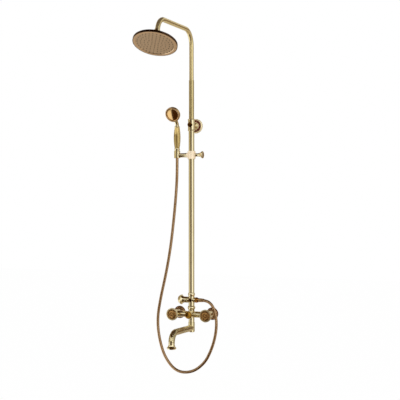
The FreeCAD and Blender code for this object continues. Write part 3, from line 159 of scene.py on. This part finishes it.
class Graph:
    """The node tree of a material or of the world."""

    def __init__(self, owner):
        owner.use_nodes = True
        self.tree = owner.node_tree
        self.tree.nodes.clear()

    def node(self, kind, inputs=None, output=0, **settings):
        """Adds one node: its settings first, then a value or a link for each named input."""
        made = self.tree.nodes.new("ShaderNode" + kind)
        for name, value in settings.items():
            setattr(made, name, value)
        for key, value in (inputs or {}).items():
            if isinstance(value, Wire):
                self.tree.links.new(value.socket, made.inputs[key])
            else:
                made.inputs[key].default_value = value
        return Wire(self, made.outputs[output]) if made.outputs else None

    def parts(self, vector):
        """The X, Y and Z of a vector."""
        split = self.node("SeparateXYZ", {0: vector}).socket.node
        return [Wire(self, out) for out in split.outputs]

    def place(self):
        """Where the shaded point is on its object."""
        return self.node("TexCoord", output="Object")

    def relief(self):
        """How high the point stands in its piece's carving, from 0 to 1."""
        return self.node("Attribute", output="Fac", attribute_name="relief")

    def mix(self, factor, first, second):
        """A colour between two others."""
        return self.node("Mix", {0: factor, 6: first, 7: second}, 2, data_type="RGBA")

    def noise(self, place, scale, detail=3.0, roughness=0.5):
        return self.node("TexNoise", {"Vector": place, "Scale": scale, "Detail": detail,
                                      "Roughness": roughness})

    def finish(self, shader):
        kind = "OutputWorld" if shader.socket.node.type == "BACKGROUND" else "OutputMaterial"
        self.node(kind, {"Surface": shader})


def colour(red, green, blue):
    """A linear colour from its display values, 0 to 255."""
    def linear(value):
        value /= 255
        return value / 12.92 if value <= 0.04045 else ((value + 0.055) / 1.055) ** 2.4
    return (linear(red), linear(green), linear(blue), 1.0)


# ---------------------------------------------------------------- world, lamps and floor

KEY_LIGHT = (1.22, 1.2, 1.12, 1.0)
PALE_WALL = colour(210, 202, 186)
WARM_FLOOR = colour(190, 172, 150)
CORNER_BROWN = colour(112, 76, 44)
ROOM_DARK = colour(66, 40, 12)
FLOOR_DROP = 0.65                           # how far the floor lies below the hose


def band(value, low, high, soft):
    """1 between low and high, with soft edges, and 0 outside."""
    return value.ramp(low - soft, low + soft) * value.ramp(high + soft, high - soft)


def light_world():
    """White to the camera. To the metal, a studio: a bright key at the right and a left side that
    grows dimmer upwards, a pale wall behind with a brown corner, and a warm floor. Over those lie
    a bright patch low at the left, a bright window ahead, and three dark places: a lane on the
    floor, a gap ahead and the ceiling. Azimuth runs from -Y towards +X, and up is the sine of the
    elevation."""
    world = bpy.data.worlds.new("studio")
    bpy.context.scene.world = world
    graph = Graph(world)
    across, along, up = graph.parts(graph.node("TexCoord", output="Generated"))
    azimuth = across.maths("ARCTAN2", across, along * -1.0)
    left = graph.mix(up.ramp(-0.1, 0.06), colour(214, 208, 192), colour(196, 188, 160))
    left = graph.mix(up.ramp(0.08, 0.17), left, colour(164, 148, 118))
    right = graph.mix(azimuth.ramp(1.2, 1.6), KEY_LIGHT, colour(196, 190, 176))
    studio = graph.mix(azimuth.ramp(-0.2, 0.4), left, right)
    behind = (azimuth * azimuth).ramp(2.1 ** 2, 2.8 ** 2)
    corner = band(azimuth, 2.45, 3.0, 0.1) * band(up, -0.2, 0.25, 0.05)
    floor = up.ramp(-0.2, -0.5)
    low_left = band(azimuth, -2.2, -0.5, 0.15) * band(up, -0.9, -0.2, 0.06)
    window = band(azimuth, -1.1, 0.9, 0.08) * band(up, 0.25, 0.56, 0.03)
    lane = band(across, -0.46, 0.6, 0.05) * along.ramp(0.2, 0.1) * up.ramp(-0.12, -0.2)
    gap = band(azimuth, -0.38, 0.56, 0.05) * band(up, -0.3, 0.228, 0.012)
    ceiling = up.ramp(0.58, 0.68)
    for share, tint in ((behind, PALE_WALL), (corner, CORNER_BROWN), (floor, WARM_FLOOR),
                        (low_left, KEY_LIGHT), (window, KEY_LIGHT),
                        (lane, ROOM_DARK), (gap, ROOM_DARK), (ceiling, ROOM_DARK)):
        studio = graph.mix(share, studio, tint)
    glossy = graph.node("LightPath", output="Is Glossy Ray")
    graph.finish(graph.node("Background", {
        "Color": graph.mix(glossy, (1, 1, 1, 1), studio), "Strength": 1.0}))


def light_lamps():
    """Two large soft lamps at the sides, which light what is matt and which no metal mirrors."""
    for name, place, size, power in (("lamp_left", (-2.6, -2.2, 2.2), 1.6, 26.0),
                                     ("lamp_right", (2.8, -1.6, 1.8), 1.6, 34.0)):
        lamp = bpy.data.objects.new(name, bpy.data.lights.new(name, "AREA"))
        bpy.context.scene.collection.objects.link(lamp)
        lamp.data.size, lamp.data.energy = size, power
        lamp.location = place
        aim = Vector((0, -0.15, 0.5)) - lamp.location
        lamp.rotation_euler = aim.to_track_quat("-Z", "Y").to_euler()
        lamp.visible_glossy = False


def lay_floor():
    """A pale floor, white to the camera, that the metal doesn't mirror."""
    bpy.ops.mesh.primitive_plane_add(size=24, location=(0, 0, cad_box[0][2] - FLOOR_DROP))
    floor = bpy.context.object
    floor.name = "floor"
    material = bpy.data.materials.new("pale_floor")
    graph = Graph(material)
    seen = graph.node("LightPath", output="Is Camera Ray")
    matt = graph.node("BsdfDiffuse", {"Color": (0.82, 0.82, 0.82, 1)})
    white = graph.node("Emission", {"Color": (1, 1, 1, 1), "Strength": 1.0})
    graph.finish(graph.node("MixShader", {0: seen * 0.97, 1: matt, 2: white}))
    floor.data.materials.append(material)
    floor.visible_glossy = False


light_world()
light_lamps()
lay_floor()


# ---------------------------------------------------------------- materials

CREAM_BRASS = colour(242, 230, 194)
OLIVE_BRASS = colour(218, 204, 160)
# red-brown of the rosette's channel: partly patina, partly painted shade in the recess
HOLLOW_PATINA_AND_SHADE = colour(112, 24, 16)
CLOUDS, SPECKS = 14.0, 520.0                # how fine the ageing and the wear are, per metre


def metal(name, bright, shade, roughness, mottle=0.35, carved=None, metallic=1.0):
    """Brass with faint cloudy ageing and fine wear. With a carved colour, the hollows of a piece
    that carries the attribute relief take that colour, partly patina and partly painted shade, and
    grow rougher."""
    material = bpy.data.materials.new(name)
    graph = Graph(material)
    place = graph.place()
    cloud = graph.noise(place, CLOUDS, 4.0, 0.55).ramp(0.35, 0.7)
    speck = graph.noise(place, SPECKS, 2.0)
    tint = graph.mix(cloud * mottle, bright, shade)
    dullness = roughness + cloud * 0.04 + (speck - 0.5) * 0.015
    if carved:
        # the carved colour in the hollows is partly patina and partly painted shade in the
        # recesses
        hollow_patina_and_shade = graph.relief().ramp(0.8, 0.2)
        tint = graph.mix(hollow_patina_and_shade, tint, carved)
        dullness = dullness + hollow_patina_and_shade * 0.25
    bump = graph.node("Bump", {"Height": speck * 0.008, "Strength": 0.3, "Distance": 0.3 * MM})
    graph.finish(graph.node("BsdfPrincipled", {
        "Base Color": tint, "Metallic": metallic, "Roughness": dullness, "Normal": bump}))
    return material


def head_metal(name, inner, rim, near, far, roughness, stippled):
    """Metal of the rain head, which turns from the inner colour to the rim's between two distances
    from the head's own axis. A stippled one has a faint grain inside them."""
    material = bpy.data.materials.new(name)
    graph = Graph(material)
    place = graph.place()
    ball = middle("swivel_ball")
    across, along, up = graph.parts(place)
    slope = (along - ball.y) * math.cos(HEAD_LEAN) - (up - ball.z) * math.sin(HEAD_LEAN)
    reach = (across * across + slope * slope) ** 0.5
    inside = reach.ramp(far, near)
    grain = graph.noise(place, 230.0, 2.0)
    tint = graph.mix(inside, rim, inner)
    if stippled:
        tint = graph.mix(grain.ramp(0.4, 0.75) * inside * 0.35, tint, colour(168, 138, 112))
    bump = graph.node("Bump", {"Height": grain * inside, "Strength": 0.1 * stippled,
                               "Distance": 0.3 * MM})
    graph.finish(graph.node("BsdfPrincipled", {
        "Base Color": tint, "Metallic": 1.0, "Roughness": roughness + inside * (0.12 * stippled),
        "Normal": bump}))
    return material


def plain(name, tint, roughness):
    """Nylon, rubber, fibre or ceramic: fine speckle in colour and surface."""
    material = bpy.data.materials.new(name)
    graph = Graph(material)
    place = graph.place()
    speck = graph.noise(place, 300.0, 4.0)
    darker = tuple(0.75 * part for part in tint[:3]) + (1.0,)
    bump = graph.node("Bump", {"Height": speck, "Strength": 0.15, "Distance": 0.2 * MM})
    graph.finish(graph.node("BsdfPrincipled", {
        "Base Color": graph.mix(speck, darker, tint), "Roughness": roughness,
        "Specular IOR Level": 0.4, "Normal": bump}))
    return material


def hose_metal():
    """Bronze hose: tan strands with brown between them as painted shade in the grooves, and fine
    rings across by its UV map.
    """
    ring_pitch = 2.4 * MM
    material = bpy.data.materials.new("hose_metal")
    graph = Graph(material)
    along = graph.parts(graph.node("UVMap", uv_map="run"))[1]
    ring = (along * (TAU / ring_pitch)).sin() * 0.5 + 0.5
    cloud = graph.noise(graph.place(), 30.0, 3.0)
    # brown in the grooves and tan on the crests: painted shade between the ribs
    tint = graph.mix(graph.relief().ramp(0.2, 0.8), colour(106, 72, 54), colour(214, 180, 140))
    tint = graph.mix(cloud.ramp(0.4, 0.7) * 0.25, tint, colour(160, 118, 82))
    bump = graph.node("Bump", {"Height": ring, "Strength": 0.1, "Distance": 0.3 * MM})
    graph.finish(graph.node("BsdfPrincipled", {
        "Base Color": tint, "Metallic": 1.0, "Roughness": 0.3 + ring * -0.04, "Normal": bump}))
    return material


brass = metal("aged_brass", CREAM_BRASS, OLIVE_BRASS, 0.12)
# a darker copy of the brass for the upper riser: painted shade
riser_brass_painted_shade = metal("riser_brass_painted_shade", colour(214, 198, 148), colour(190, 170, 120), 0.24)
arm_brass = metal("arm_brass", colour(232, 216, 166), colour(214, 194, 140), 0.17, metallic=0.9)
satin_brass = metal("satin_brass", colour(250, 232, 204), colour(242, 218, 186), 0.5, metallic=0.4)
warm_brass = metal("warm_brass", colour(206, 146, 68), colour(160, 100, 40), 0.2)
amber_brass = metal("amber_brass", colour(176, 132, 52), colour(140, 98, 34), 0.26)
# a darker copy of the brass for the handset's grip: painted shade in its flutes
grip_brass_painted_shade = metal("grip_brass_painted_shade", colour(216, 192, 132), colour(182, 154, 98), 0.15)
dark_bronze = metal("dark_bronze", colour(88, 56, 16), colour(66, 40, 10), 0.24)
bronze_brass = metal("bronze_brass", colour(214, 180, 136), colour(176, 136, 92), 0.24)
mirror_brass = metal("mirror_brass", colour(228, 192, 138), colour(204, 164, 106), 0.15,
                     mottle=0.2)
# The carved colours below fill the hollows of the relief: partly patina, partly painted shade in
# the recesses.
carved_brass = metal("carved_brass", colour(246, 230, 190), OLIVE_BRASS, 0.24, carved=HOLLOW_PATINA_AND_SHADE,
                      metallic=0.55)
carved_amber = metal("carved_amber", colour(206, 160, 98), colour(164, 114, 62), 0.2,
                     carved=colour(58, 16, 10), metallic=0.95)
carved_bronze = metal("carved_bronze", colour(206, 162, 112), colour(160, 112, 72), 0.3,
                      carved=colour(58, 18, 12), metallic=0.8)
spout_brass = metal("spout_brass", colour(236, 224, 182), OLIVE_BRASS, 0.17)
carved_spout = metal("carved_spout", colour(236, 224, 182), OLIVE_BRASS, 0.17,
                     carved=colour(84, 64, 34))
machined_brass = metal("machined_brass", OLIVE_BRASS, colour(190, 160, 100), 0.28)
# the darker carved colour in the thread roots is painted shade
threaded_brass = metal("threaded_brass", OLIVE_BRASS, colour(190, 160, 100), 0.28,
                       carved=colour(120, 92, 48))
steel = metal("steel", colour(196, 196, 192), colour(164, 164, 160), 0.35)
face_brass = head_metal("face_brass", colour(214, 194, 168), colour(226, 202, 172),
                        71 * MM, 74 * MM, 0.3, stippled=True)
# the shell's dark brown rim colour is a painted dark reflection of the room above
shell_brass_painted_dark_rim = head_metal("shell_brass_painted_dark_rim", CREAM_BRASS, colour(84, 60, 40), 76 * MM, 82 * MM, 0.16,
                         stippled=False)
hose_brass = hose_metal()
nylon = plain("nylon", colour(226, 220, 206), 0.45)
ceramic = plain("ceramic", colour(238, 238, 234), 0.2)
fibre = plain("fibre", colour(120, 74, 54), 0.8)
rubber = plain("rubber", colour(46, 32, 26), 0.6)

FINISHES = {
    "aged_brass": brass, "plain_brass": machined_brass, "carved_brass": carved_brass,
    "face_brass": face_brass, "mirror_brass": mirror_brass, "hose_metal": hose_brass,
    "steel": steel, "ceramic": ceramic, "nylon": nylon, "fibre": fibre, "rubber": rubber,
}
SPECIAL = {
    "slider_clamp": satin_brass, "hose_outlet_nut": warm_brass, "mixer_front_cap": amber_brass,
    "bracket_front_cap": dark_bronze, "diverter_front_cap": dark_bronze,
    "upper_riser": riser_brass_painted_shade, "arm": arm_brass, "rain_head_shell": shell_brass_painted_dark_rim,
    "handset_bezel": bronze_brass, "handset_grip": grip_brass_painted_shade, "hose_ferrule": bronze_brass,
    "spout": spout_brass,
}


def dress_nodes():
    """Each CAD node takes the finish of its material slot, or one of its own."""
    slots = {part["node"]: part["material_slot"] for part in frame["record"]["subparts"]}
    for name, thing in NODES.items():
        thing.data.materials.clear()
        thing.data.materials.append(SPECIAL.get(name, FINISHES[slots[name]]))


dress_nodes()


# ---------------------------------------------------------------- surfaces

SAME_POINT = 0.2e-6                         # points closer than this are merged


def smooth_step(value, low, high):
    """0 at low, 1 at high, with a smooth step between."""
    share = np.clip((value - low) / (high - low), 0, 1)
    return share * share * (3 - 2 * share)


def hump(value, centre, width):
    """A bell-shaped ridge: 1 at the centre, and near 0 two widths away."""
    return np.exp(-((value - centre) / width) ** 2)


def surface(name, grids, material, runs=None):
    """One piece from grids of points. Each grid is (points, relief): points[i, j] runs along its
    profile with i and closes round with j. Rows that shrink to one point become poles. runs, one
    distance for each row of a single grid, gives the piece its UV map."""
    places, faces, heights, first = [], [], [], 0
    for points, relief in grids:
        rows, columns = points.shape[:2]
        i, j = np.meshgrid(np.arange(rows - 1), np.arange(columns), indexing="ij")
        after = (j + 1) % columns
        corners = [i * columns + j, i * columns + after,
                   (i + 1) * columns + after, (i + 1) * columns + j]
        faces.append(np.stack(corners, axis=-1).reshape(-1, 4) + first)
        places.append(points.reshape(-1, 3))
        heights.append(np.broadcast_to(relief, points.shape[:2]).reshape(-1))
        first += rows * columns
    mesh = bpy.data.meshes.new(name)
    mesh.from_pydata(np.concatenate(places), [], np.concatenate(faces).tolist())
    attribute = mesh.attributes.new("relief", "FLOAT", "POINT")
    attribute.data.foreach_set("value", np.concatenate(heights).astype(np.float32))
    if runs is not None:
        turns = np.stack([j, j + 1, j + 1, j], axis=-1) / columns
        ways = runs[np.stack([i, i, i + 1, i + 1], axis=-1)]
        layer = mesh.uv_layers.new(name="run")
        layer.data.foreach_set("uv", np.stack([turns, ways], axis=-1).reshape(-1)
                               .astype(np.float32))
    shape = bmesh.new()
    shape.from_mesh(mesh)
    bmesh.ops.remove_doubles(shape, verts=shape.verts, dist=SAME_POINT)
    bmesh.ops.recalc_face_normals(shape, faces=shape.faces)
    shape.to_mesh(mesh)
    shape.free()
    mesh.shade_smooth()
    mesh.materials.append(material)
    piece = bpy.data.objects.new(name, mesh)
    bpy.context.scene.collection.objects.link(piece)
    return piece


def facing_wall(centre, radii, heights, angles):
    """Points of a turned piece whose axis runs out of the wall: radii across, heights towards -Y.
    An angle is measured from +X towards +Z."""
    return np.stack([centre[0] + radii * np.cos(angles), centre[1] - heights,
                     centre[2] + radii * np.sin(angles)], axis=-1)


def with_rings(before, carved, after):
    """A carved stretch of a turned piece, as radii, heights and relief, with plain rings before
    and after it: pairs of radius and height, whose relief is 1."""
    carved = np.stack(np.broadcast_arrays(*carved))
    full = np.ones(carved.shape[2])
    first, last = ([np.stack(np.broadcast_arrays(*ring, full))[:, None] for ring in rings]
                   for rings in (before, after))
    return np.concatenate([*first, carved, *last], axis=1)


def tube(path, radii, relief, across=(1.0, 0.0, 0.0)):
    """A tube of points round a path, and its relief, with a radius for each point. Of the two
    directions across the path, the first is the given one less its share along the path, and the
    second is square to both. A row of equal points closes each end."""
    columns = radii.shape[1]
    along = np.gradient(path, axis=0)
    along /= np.linalg.norm(along, axis=1)[:, None]
    first = np.array(across) - along * (along @ np.array(across))[:, None]
    first /= np.linalg.norm(first, axis=1)[:, None]
    second = np.cross(along, first)
    angles = np.linspace(0, TAU, columns, endpoint=False)
    rim = (first[:, None] * np.cos(angles)[None, :, None]
           + second[:, None] * np.sin(angles)[None, :, None])
    wall = path[:, None] + rim * radii[..., None]
    start, end = [np.broadcast_to(path[i], (1, columns, 3)) for i in (0, -1)]
    return np.concatenate([start, wall, end]), np.concatenate([relief[:1], relief, relief[-1:]])


def at_inlets(wall, radii, heights, relief, angles):
    """The grids of a turned piece on the wall behind each handle."""
    centres = [middle(side + "_handle_face") for side in SIDES]
    return [(facing_wall((centre.x, wall, centre.z), radii, heights, angles), relief)
            for centre in centres]


# ---------------------------------------------------------------- handle faces

def scroll_relief(share, angle):
    """A flower in the middle, swirling acanthus strokes around it and a rope round the rim. The
    swirl's strokes follow logarithmic spirals, so they lean the same way at every radius."""
    flower = (1 - smooth_step(share, 0.2, 0.34)) * (0.7 + 0.3 * np.cos(8 * angle)
                                                    * smooth_step(share, 0.05, 0.24))
    swirl = angle - 1.5 * np.log(share + 0.05)
    strokes = np.abs(np.sin(4.5 * swirl)) ** 0.5
    veins = 0.3 * hump(np.sin(9 * swirl), 0.0, 0.2)
    leaves = ((strokes - veins) * smooth_step(share, 0.32, 0.4)
              * (1 - smooth_step(share, 0.7, 0.76)))
    rope = np.abs(np.sin(11 * (angle + 2.2 * share))) ** 0.7
    rim = rope * smooth_step(share, 0.79, 0.83) * (1 - smooth_step(share, 0.96, 0.99))
    bead = 0.6 * hump(share, 0.36, 0.014)
    return np.clip(flower + leaves + rim + bead, 0, 1)


def carve_handles():
    """A carved face for each handle, in the seat that the CAD's face fills: a disc whose front is
    flat, plus a dome that falls with the square of the radius, plus the scrolls, which fade out
    at the very edge."""
    carving, dome, sunk = 1.0 * MM, 1.5 * MM, 2.2 * MM
    share = np.linspace(0, 1, 70)[:, None]
    angles = np.linspace(0, TAU, 240, endpoint=False)[None, :]
    relief = scroll_relief(share, angles)
    rise = relief * carving * (1 - smooth_step(share, 0.965, 1.0)) + dome * (1 - share ** 2)
    for side in SIDES:
        low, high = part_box(side + "_handle_face")
        centre = (low + high) / 2
        radius = (high.x - low.x) / 2
        front = high.y - low.y - sunk + rise
        radii, heights, shown = with_rings(
            [], (radius * share, front, relief), [(radius, 0), (0, 0)])
        points = facing_wall((centre.x, high.y, centre.z), radii, heights, angles)
        piece = surface(side + "_face_carving", [(points, shown)], carved_amber)
        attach(piece, side + "_handle")
        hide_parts(side + "_handle_face")


carve_handles()


# ---------------------------------------------------------------- flanges and rosette

def carve_flanges():
    """Bell flanges with a ring of twelve leaves on the bell, a beaded rim and a plain collar. From
    the rim to the hub the radius falls as a quarter wave and the height grows as a power."""
    low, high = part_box("wall_flanges")
    radius, depth = (high.z - low.z) / 2, high.y - low.y
    hub, bore = 17.0 * MM, 12.4 * MM
    rim, carving, inset = 3 * MM, 1.1 * MM, 0.2 * MM
    bell = np.linspace(0, 1, 60)[:, None]
    angles = np.linspace(0, TAU, 264, endpoint=False)[None, :]
    leaf = np.abs(np.cos(6 * angles + 0.8 * np.sin(math.pi * bell))) ** 0.8
    vein = 0.5 * hump(np.sin(6 * angles), 0, 0.16) * (1 - bell)
    body = (leaf - vein) * smooth_step(bell, 0.1, 0.22) * (1 - smooth_step(bell, 0.78, 0.9))
    bead = np.abs(np.sin(22 * angles)) * hump(bell, 0.055, 0.03)
    relief = np.clip(body + bead + hump(bell, 0.14, 0.02) + smooth_step(bell, 0.9, 0.95), 0, 1)
    radii = radius - (radius - hub) * np.sin(bell * math.pi / 2) ** 0.8 - inset
    heights = rim + (depth - rim - carving - inset) * bell ** 1.3 + relief * carving
    rows = with_rings([(radius, 0), (radius, 2.6 * MM)], (radii, heights, relief),
                      [(hub, depth), (bore, depth), (bore, 0), (radius, 0)])
    piece = surface("flange_carving", at_inlets(high.y, *rows, angles), carved_bronze)
    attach(piece, "base")
    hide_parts("wall_flanges")


def carve_rosette():
    """The bracket's rosette: a rim rolled to a quarter of an ellipse, and a dark channel round the
    post's boss with beads and leaves turn about, ten of each. A bead is a bell on the channel's
    middle line, and a leaf is two thin arcs that bow away from it."""
    low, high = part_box("bracket_rosette")
    centre = (low + high) / 2
    radius, depth = (high.x - low.x) / 2, high.y - low.y
    boss, inner, outer = 12.7 * MM, 15.5 * MM, 25.5 * MM
    rim, floor, beading, beads = 3 * MM, depth - 2.8 * MM, 2.4 * MM, 10
    share = np.linspace(0, 1, 80)[:, None]
    angles = np.linspace(0, TAU, 240, endpoint=False)[None, :]
    radii = boss + (radius - boss) * share
    channel = smooth_step(radii, inner, inner + 1 * MM) * (
        1 - smooth_step(radii, outer - 1 * MM, outer))
    off_middle = (radii - (inner + outer) / 2) / MM
    turn = beads / 2 * angles
    bead = np.exp(-(off_middle / 1.7) ** 2 - (np.sin(turn) / 0.26) ** 2)
    leaf = np.exp(-((np.abs(off_middle) - 2.4 - 1.2 * np.cos(turn) ** 2) / 0.4) ** 2
                  - (np.cos(turn) / 0.3) ** 2)
    pattern = np.clip(bead + leaf, 0, 1)
    roll = np.sqrt(np.clip(1 - ((radii - outer) / (radius - outer)) ** 2, 0, 1))
    top = np.where(radii > outer, rim + (depth - rim) * roll, depth)
    heights = top * (1 - channel) + (floor + beading * pattern) * channel
    relief = np.clip(1 - channel + pattern, 0, 1)
    radii, heights, relief = with_rings(
        [], (radii, heights, relief), [(radius, 0), (boss, 0), (boss, depth)])
    points = facing_wall((centre.x, high.y, centre.z), radii, heights, angles)
    piece = surface("rosette_carving", [(points, relief)], carved_brass)
    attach(piece, "base")
    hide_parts("bracket_rosette")


def cut_threads():
    """The wall unions with their pipe thread cut: along each stub the radius is a rounded tooth
    that climbs one pitch a turn and runs out before the shoulder. The rest is a turned profile,
    which ends on its first row."""
    low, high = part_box("wall_unions")
    stub, length = high.y, -low.y
    crest, body, face, bore = 10.48 * MM, 12 * MM, 13 * MM, 7 * MM
    face_from = length - 8 * MM
    pitch, depth, chamfer = 1.814 * MM, 1.1 * MM, 0.9 * MM
    angles = np.linspace(0, TAU, 60, endpoint=False)[None, :]
    cut = np.linspace(-stub, 0, 90)[:, None]
    tooth = 0.5 + 0.5 * np.cos(TAU * cut / pitch - angles)
    ends = 1 - smooth_step(cut, -2.5 * MM, -0.8 * MM)
    nose = chamfer * (1 - smooth_step(cut, -stub, 1.2 * MM - stub))
    teeth = crest - np.maximum(depth * (1 - tooth) * ends, nose)
    rows = with_rings([], (teeth, cut, 1 - (1 - tooth) * ends), [
        (crest, 0), (body, 0), (body, face_from), (face, face_from), (face, length),
        (bore, length), (bore, -stub), (teeth[0], -stub)])
    piece = surface("union_threads", at_inlets(0.0, *rows, angles), threaded_brass)
    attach(piece, "base")
    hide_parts("wall_unions")


carve_flanges()
carve_rosette()
cut_threads()


# ---------------------------------------------------------------- the spout's vine

SPOUT_AXIS = -57.0 * MM                     # height of its centre line at the riser
SPOUT_RISE = math.radians(1.8)              # how far it climbs
SPOUT_REACH = 199.0 * MM                    # from the riser to the tip's centre line
SPOUT_DROP = 37.5 * MM                      # from its centre line down to the tip
SPOUT_BEND = 37.0 * MM                      # radius of the bend
SPOUT_RADIUS = 12.2 * MM


def spout_path(start, count):
    """The spout's centre line from a distance out of the leg: straight, a quarter turn, and
    straight again."""
    straight = SPOUT_REACH - SPOUT_BEND - start
    quarter = SPOUT_BEND * math.pi / 2
    end = SPOUT_DROP - SPOUT_BEND
    run = np.linspace(0, straight + quarter + end, count)
    turn = np.clip((run - straight) / SPOUT_BEND, 0, math.pi / 2)
    ahead = start + np.minimum(run, straight) + SPOUT_BEND * np.sin(turn)
    down = SPOUT_BEND * (1 - np.cos(turn)) + np.maximum(run - straight - quarter, 0)
    forward = ahead * math.cos(SPOUT_RISE) + down * math.sin(SPOUT_RISE)
    height = ahead * math.sin(SPOUT_RISE) - down * math.cos(SPOUT_RISE)
    return run, np.stack([0 * run, RISER.y - forward, SPOUT_AXIS + height], axis=-1)


def carve_spout():
    """A vine round the spout: three wavy stems along it, with a veined leaf on the outside of each
    wave. A groove follows each leaf's edge, where its share falls to 0, and the carving fades out
    at both ends of the tube."""
    start, wave_length, twist = 13.0 * MM, 27 * MM, 150 * MM
    skin, carving, fade = 0.1 * MM, 0.7 * MM, 3 * MM
    run, path = spout_path(start, 420)
    angles = np.linspace(0, TAU, 160, endpoint=False)[None, :]
    along = run[:, None]
    wave = along * TAU / wave_length
    sector = (angles * 3 / TAU + along / twist) % 1.0 - 0.5
    stem = hump(sector, 0.25 * np.sin(wave), 0.045)
    across = sector + 0.22 * np.sin(wave)
    share = 1 - (across / 0.19) ** 2 - (np.cos(wave) / 0.6) ** 2
    leaf = smooth_step(share, 0.1, 0.7) - 0.8 * hump(across, 0, 0.022) * (share > 0.1)
    edge = 0.7 * hump(np.abs(sector - 0.25 * np.sin(wave)), 0.1, 0.03)
    groove = np.maximum(hump(share, 0, 0.35), edge * (share < 0)) * (1 - stem)
    relief = np.clip(0.7 + 0.3 * np.maximum(leaf, stem) - 0.6 * groove, 0, 1)
    ends = smooth_step(along, 0, fade) * (1 - smooth_step(along, run[-1] - fade, run[-1]))
    radii = SPOUT_RADIUS + (skin + carving * relief) * ends
    piece = surface("spout_vine", [tube(path, radii, relief)], carved_spout)
    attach(piece, "spout")


carve_spout()


# ---------------------------------------------------------------- hose

HOSE_RADIUS = 6.0 * MM
RIBS, RIB_DEPTH, RIB_TURN = 6, 0.45 * MM, 38 * MM
RIB_CREST = 0.1 * MM                        # how far the ribs stand above the hose's radius
HOSE_CUTS = (0.130, 0.083, 0.034)           # how far below the handset one stretch meets the next
HOSE_ROUTE = [
    (0.040, -0.050, 0.0605), (0.070, -0.050, 0.0605), (0.094, -0.050, 0.042),
    (0.108, -0.0505, 0.010), (0.114, -0.0515, -0.036), (0.108, -0.0525, -0.088),
    (0.091, -0.054, -0.144), (0.062, -0.0555, -0.200), (0.006, -0.057, -0.243),
    (-0.066, -0.057, -0.246), (-0.120, -0.056, -0.190), (-0.148, -0.054, -0.112),
    (-0.158, -0.0525, -0.026), (-0.142, -0.0515, 0.066), (-0.116, -0.051, 0.172),
    (-0.094, -0.0505, 0.292), (-0.078, -0.050, 0.430), (-0.069, -0.050, 0.530),
    (-0.066, -0.050, 0.600), (-0.066, -0.050, 0.657),
]


def hose_line():
    """Points along the hose's smooth line: a NURBS curve of order 3 that the route steers."""
    curve = bpy.data.curves.new("hose_route", "CURVE")
    curve.dimensions = "3D"
    curve.resolution_u = 40
    spline = curve.splines.new("NURBS")
    spline.points.add(len(HOSE_ROUTE) - 1)
    for point, place in zip(spline.points, HOSE_ROUTE):
        point.co = (*place, 1.0)
    spline.order_u = 3
    spline.use_endpoint_u = True
    holder = bpy.data.objects.new("hose_route", curve)
    bpy.context.scene.collection.objects.link(holder)
    bpy.context.view_layer.update()
    mesh = bpy.data.meshes.new_from_object(holder)
    line = np.zeros(len(mesh.vertices) * 3)
    mesh.vertices.foreach_get("co", line)
    bpy.data.objects.remove(holder)
    return line.reshape(-1, 3)


def hose_piece(name, line, distance, start, end):
    """One stretch of hose: a tube with fine rounded ridges that wind round it and a flat cap on
    each end. A row close to each end keeps the shading of the caps off the wall."""
    edge, row = 0.02 * MM, 0.85 * MM
    inside = np.linspace(start + edge, end - edge, max(int((end - start) / row), 8))
    stations = np.concatenate([[start], inside, [end]])
    path = np.stack([np.interp(stations, distance, line[:, axis]) for axis in range(3)], axis=-1)
    angles = np.linspace(0, TAU, 48, endpoint=False)[None, :]
    relief = np.abs(np.cos(RIBS / 2 * (angles - TAU * stations[:, None] / RIB_TURN)))
    radii = HOSE_RADIUS + RIB_CREST - RIB_DEPTH * (1 - relief)
    runs = np.concatenate([stations[:1], stations, stations[-1:]])
    grid = tube(path, radii, relief, across=(0.0, 1.0, 0.0))
    return surface(name, [grid], hose_brass, runs), path


def make_hose():
    """The hose in one long stretch and three short ones below the handset."""
    line = hose_line()
    distance = np.concatenate([[0], np.cumsum(np.linalg.norm(np.diff(line, axis=0), axis=1))])
    total = distance[-1]
    splits = total - np.array(HOSE_CUTS)
    hose, path = hose_piece("hose", line, distance, 0.0, splits[0])
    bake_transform(hose)
    for name, start, end, below, above in (
            ("hose_turn", splits[0], splits[1], "slider", "slider_clamp"),
            ("hose_tilt", splits[1], splits[2], "slider_clamp", "holder"),
            ("hose_top", splits[2], total, "holder", "handset")):
        piece, run = hose_piece(name, line, distance, start, end)
        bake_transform(piece)
    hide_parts("shower_hose")


make_hose()
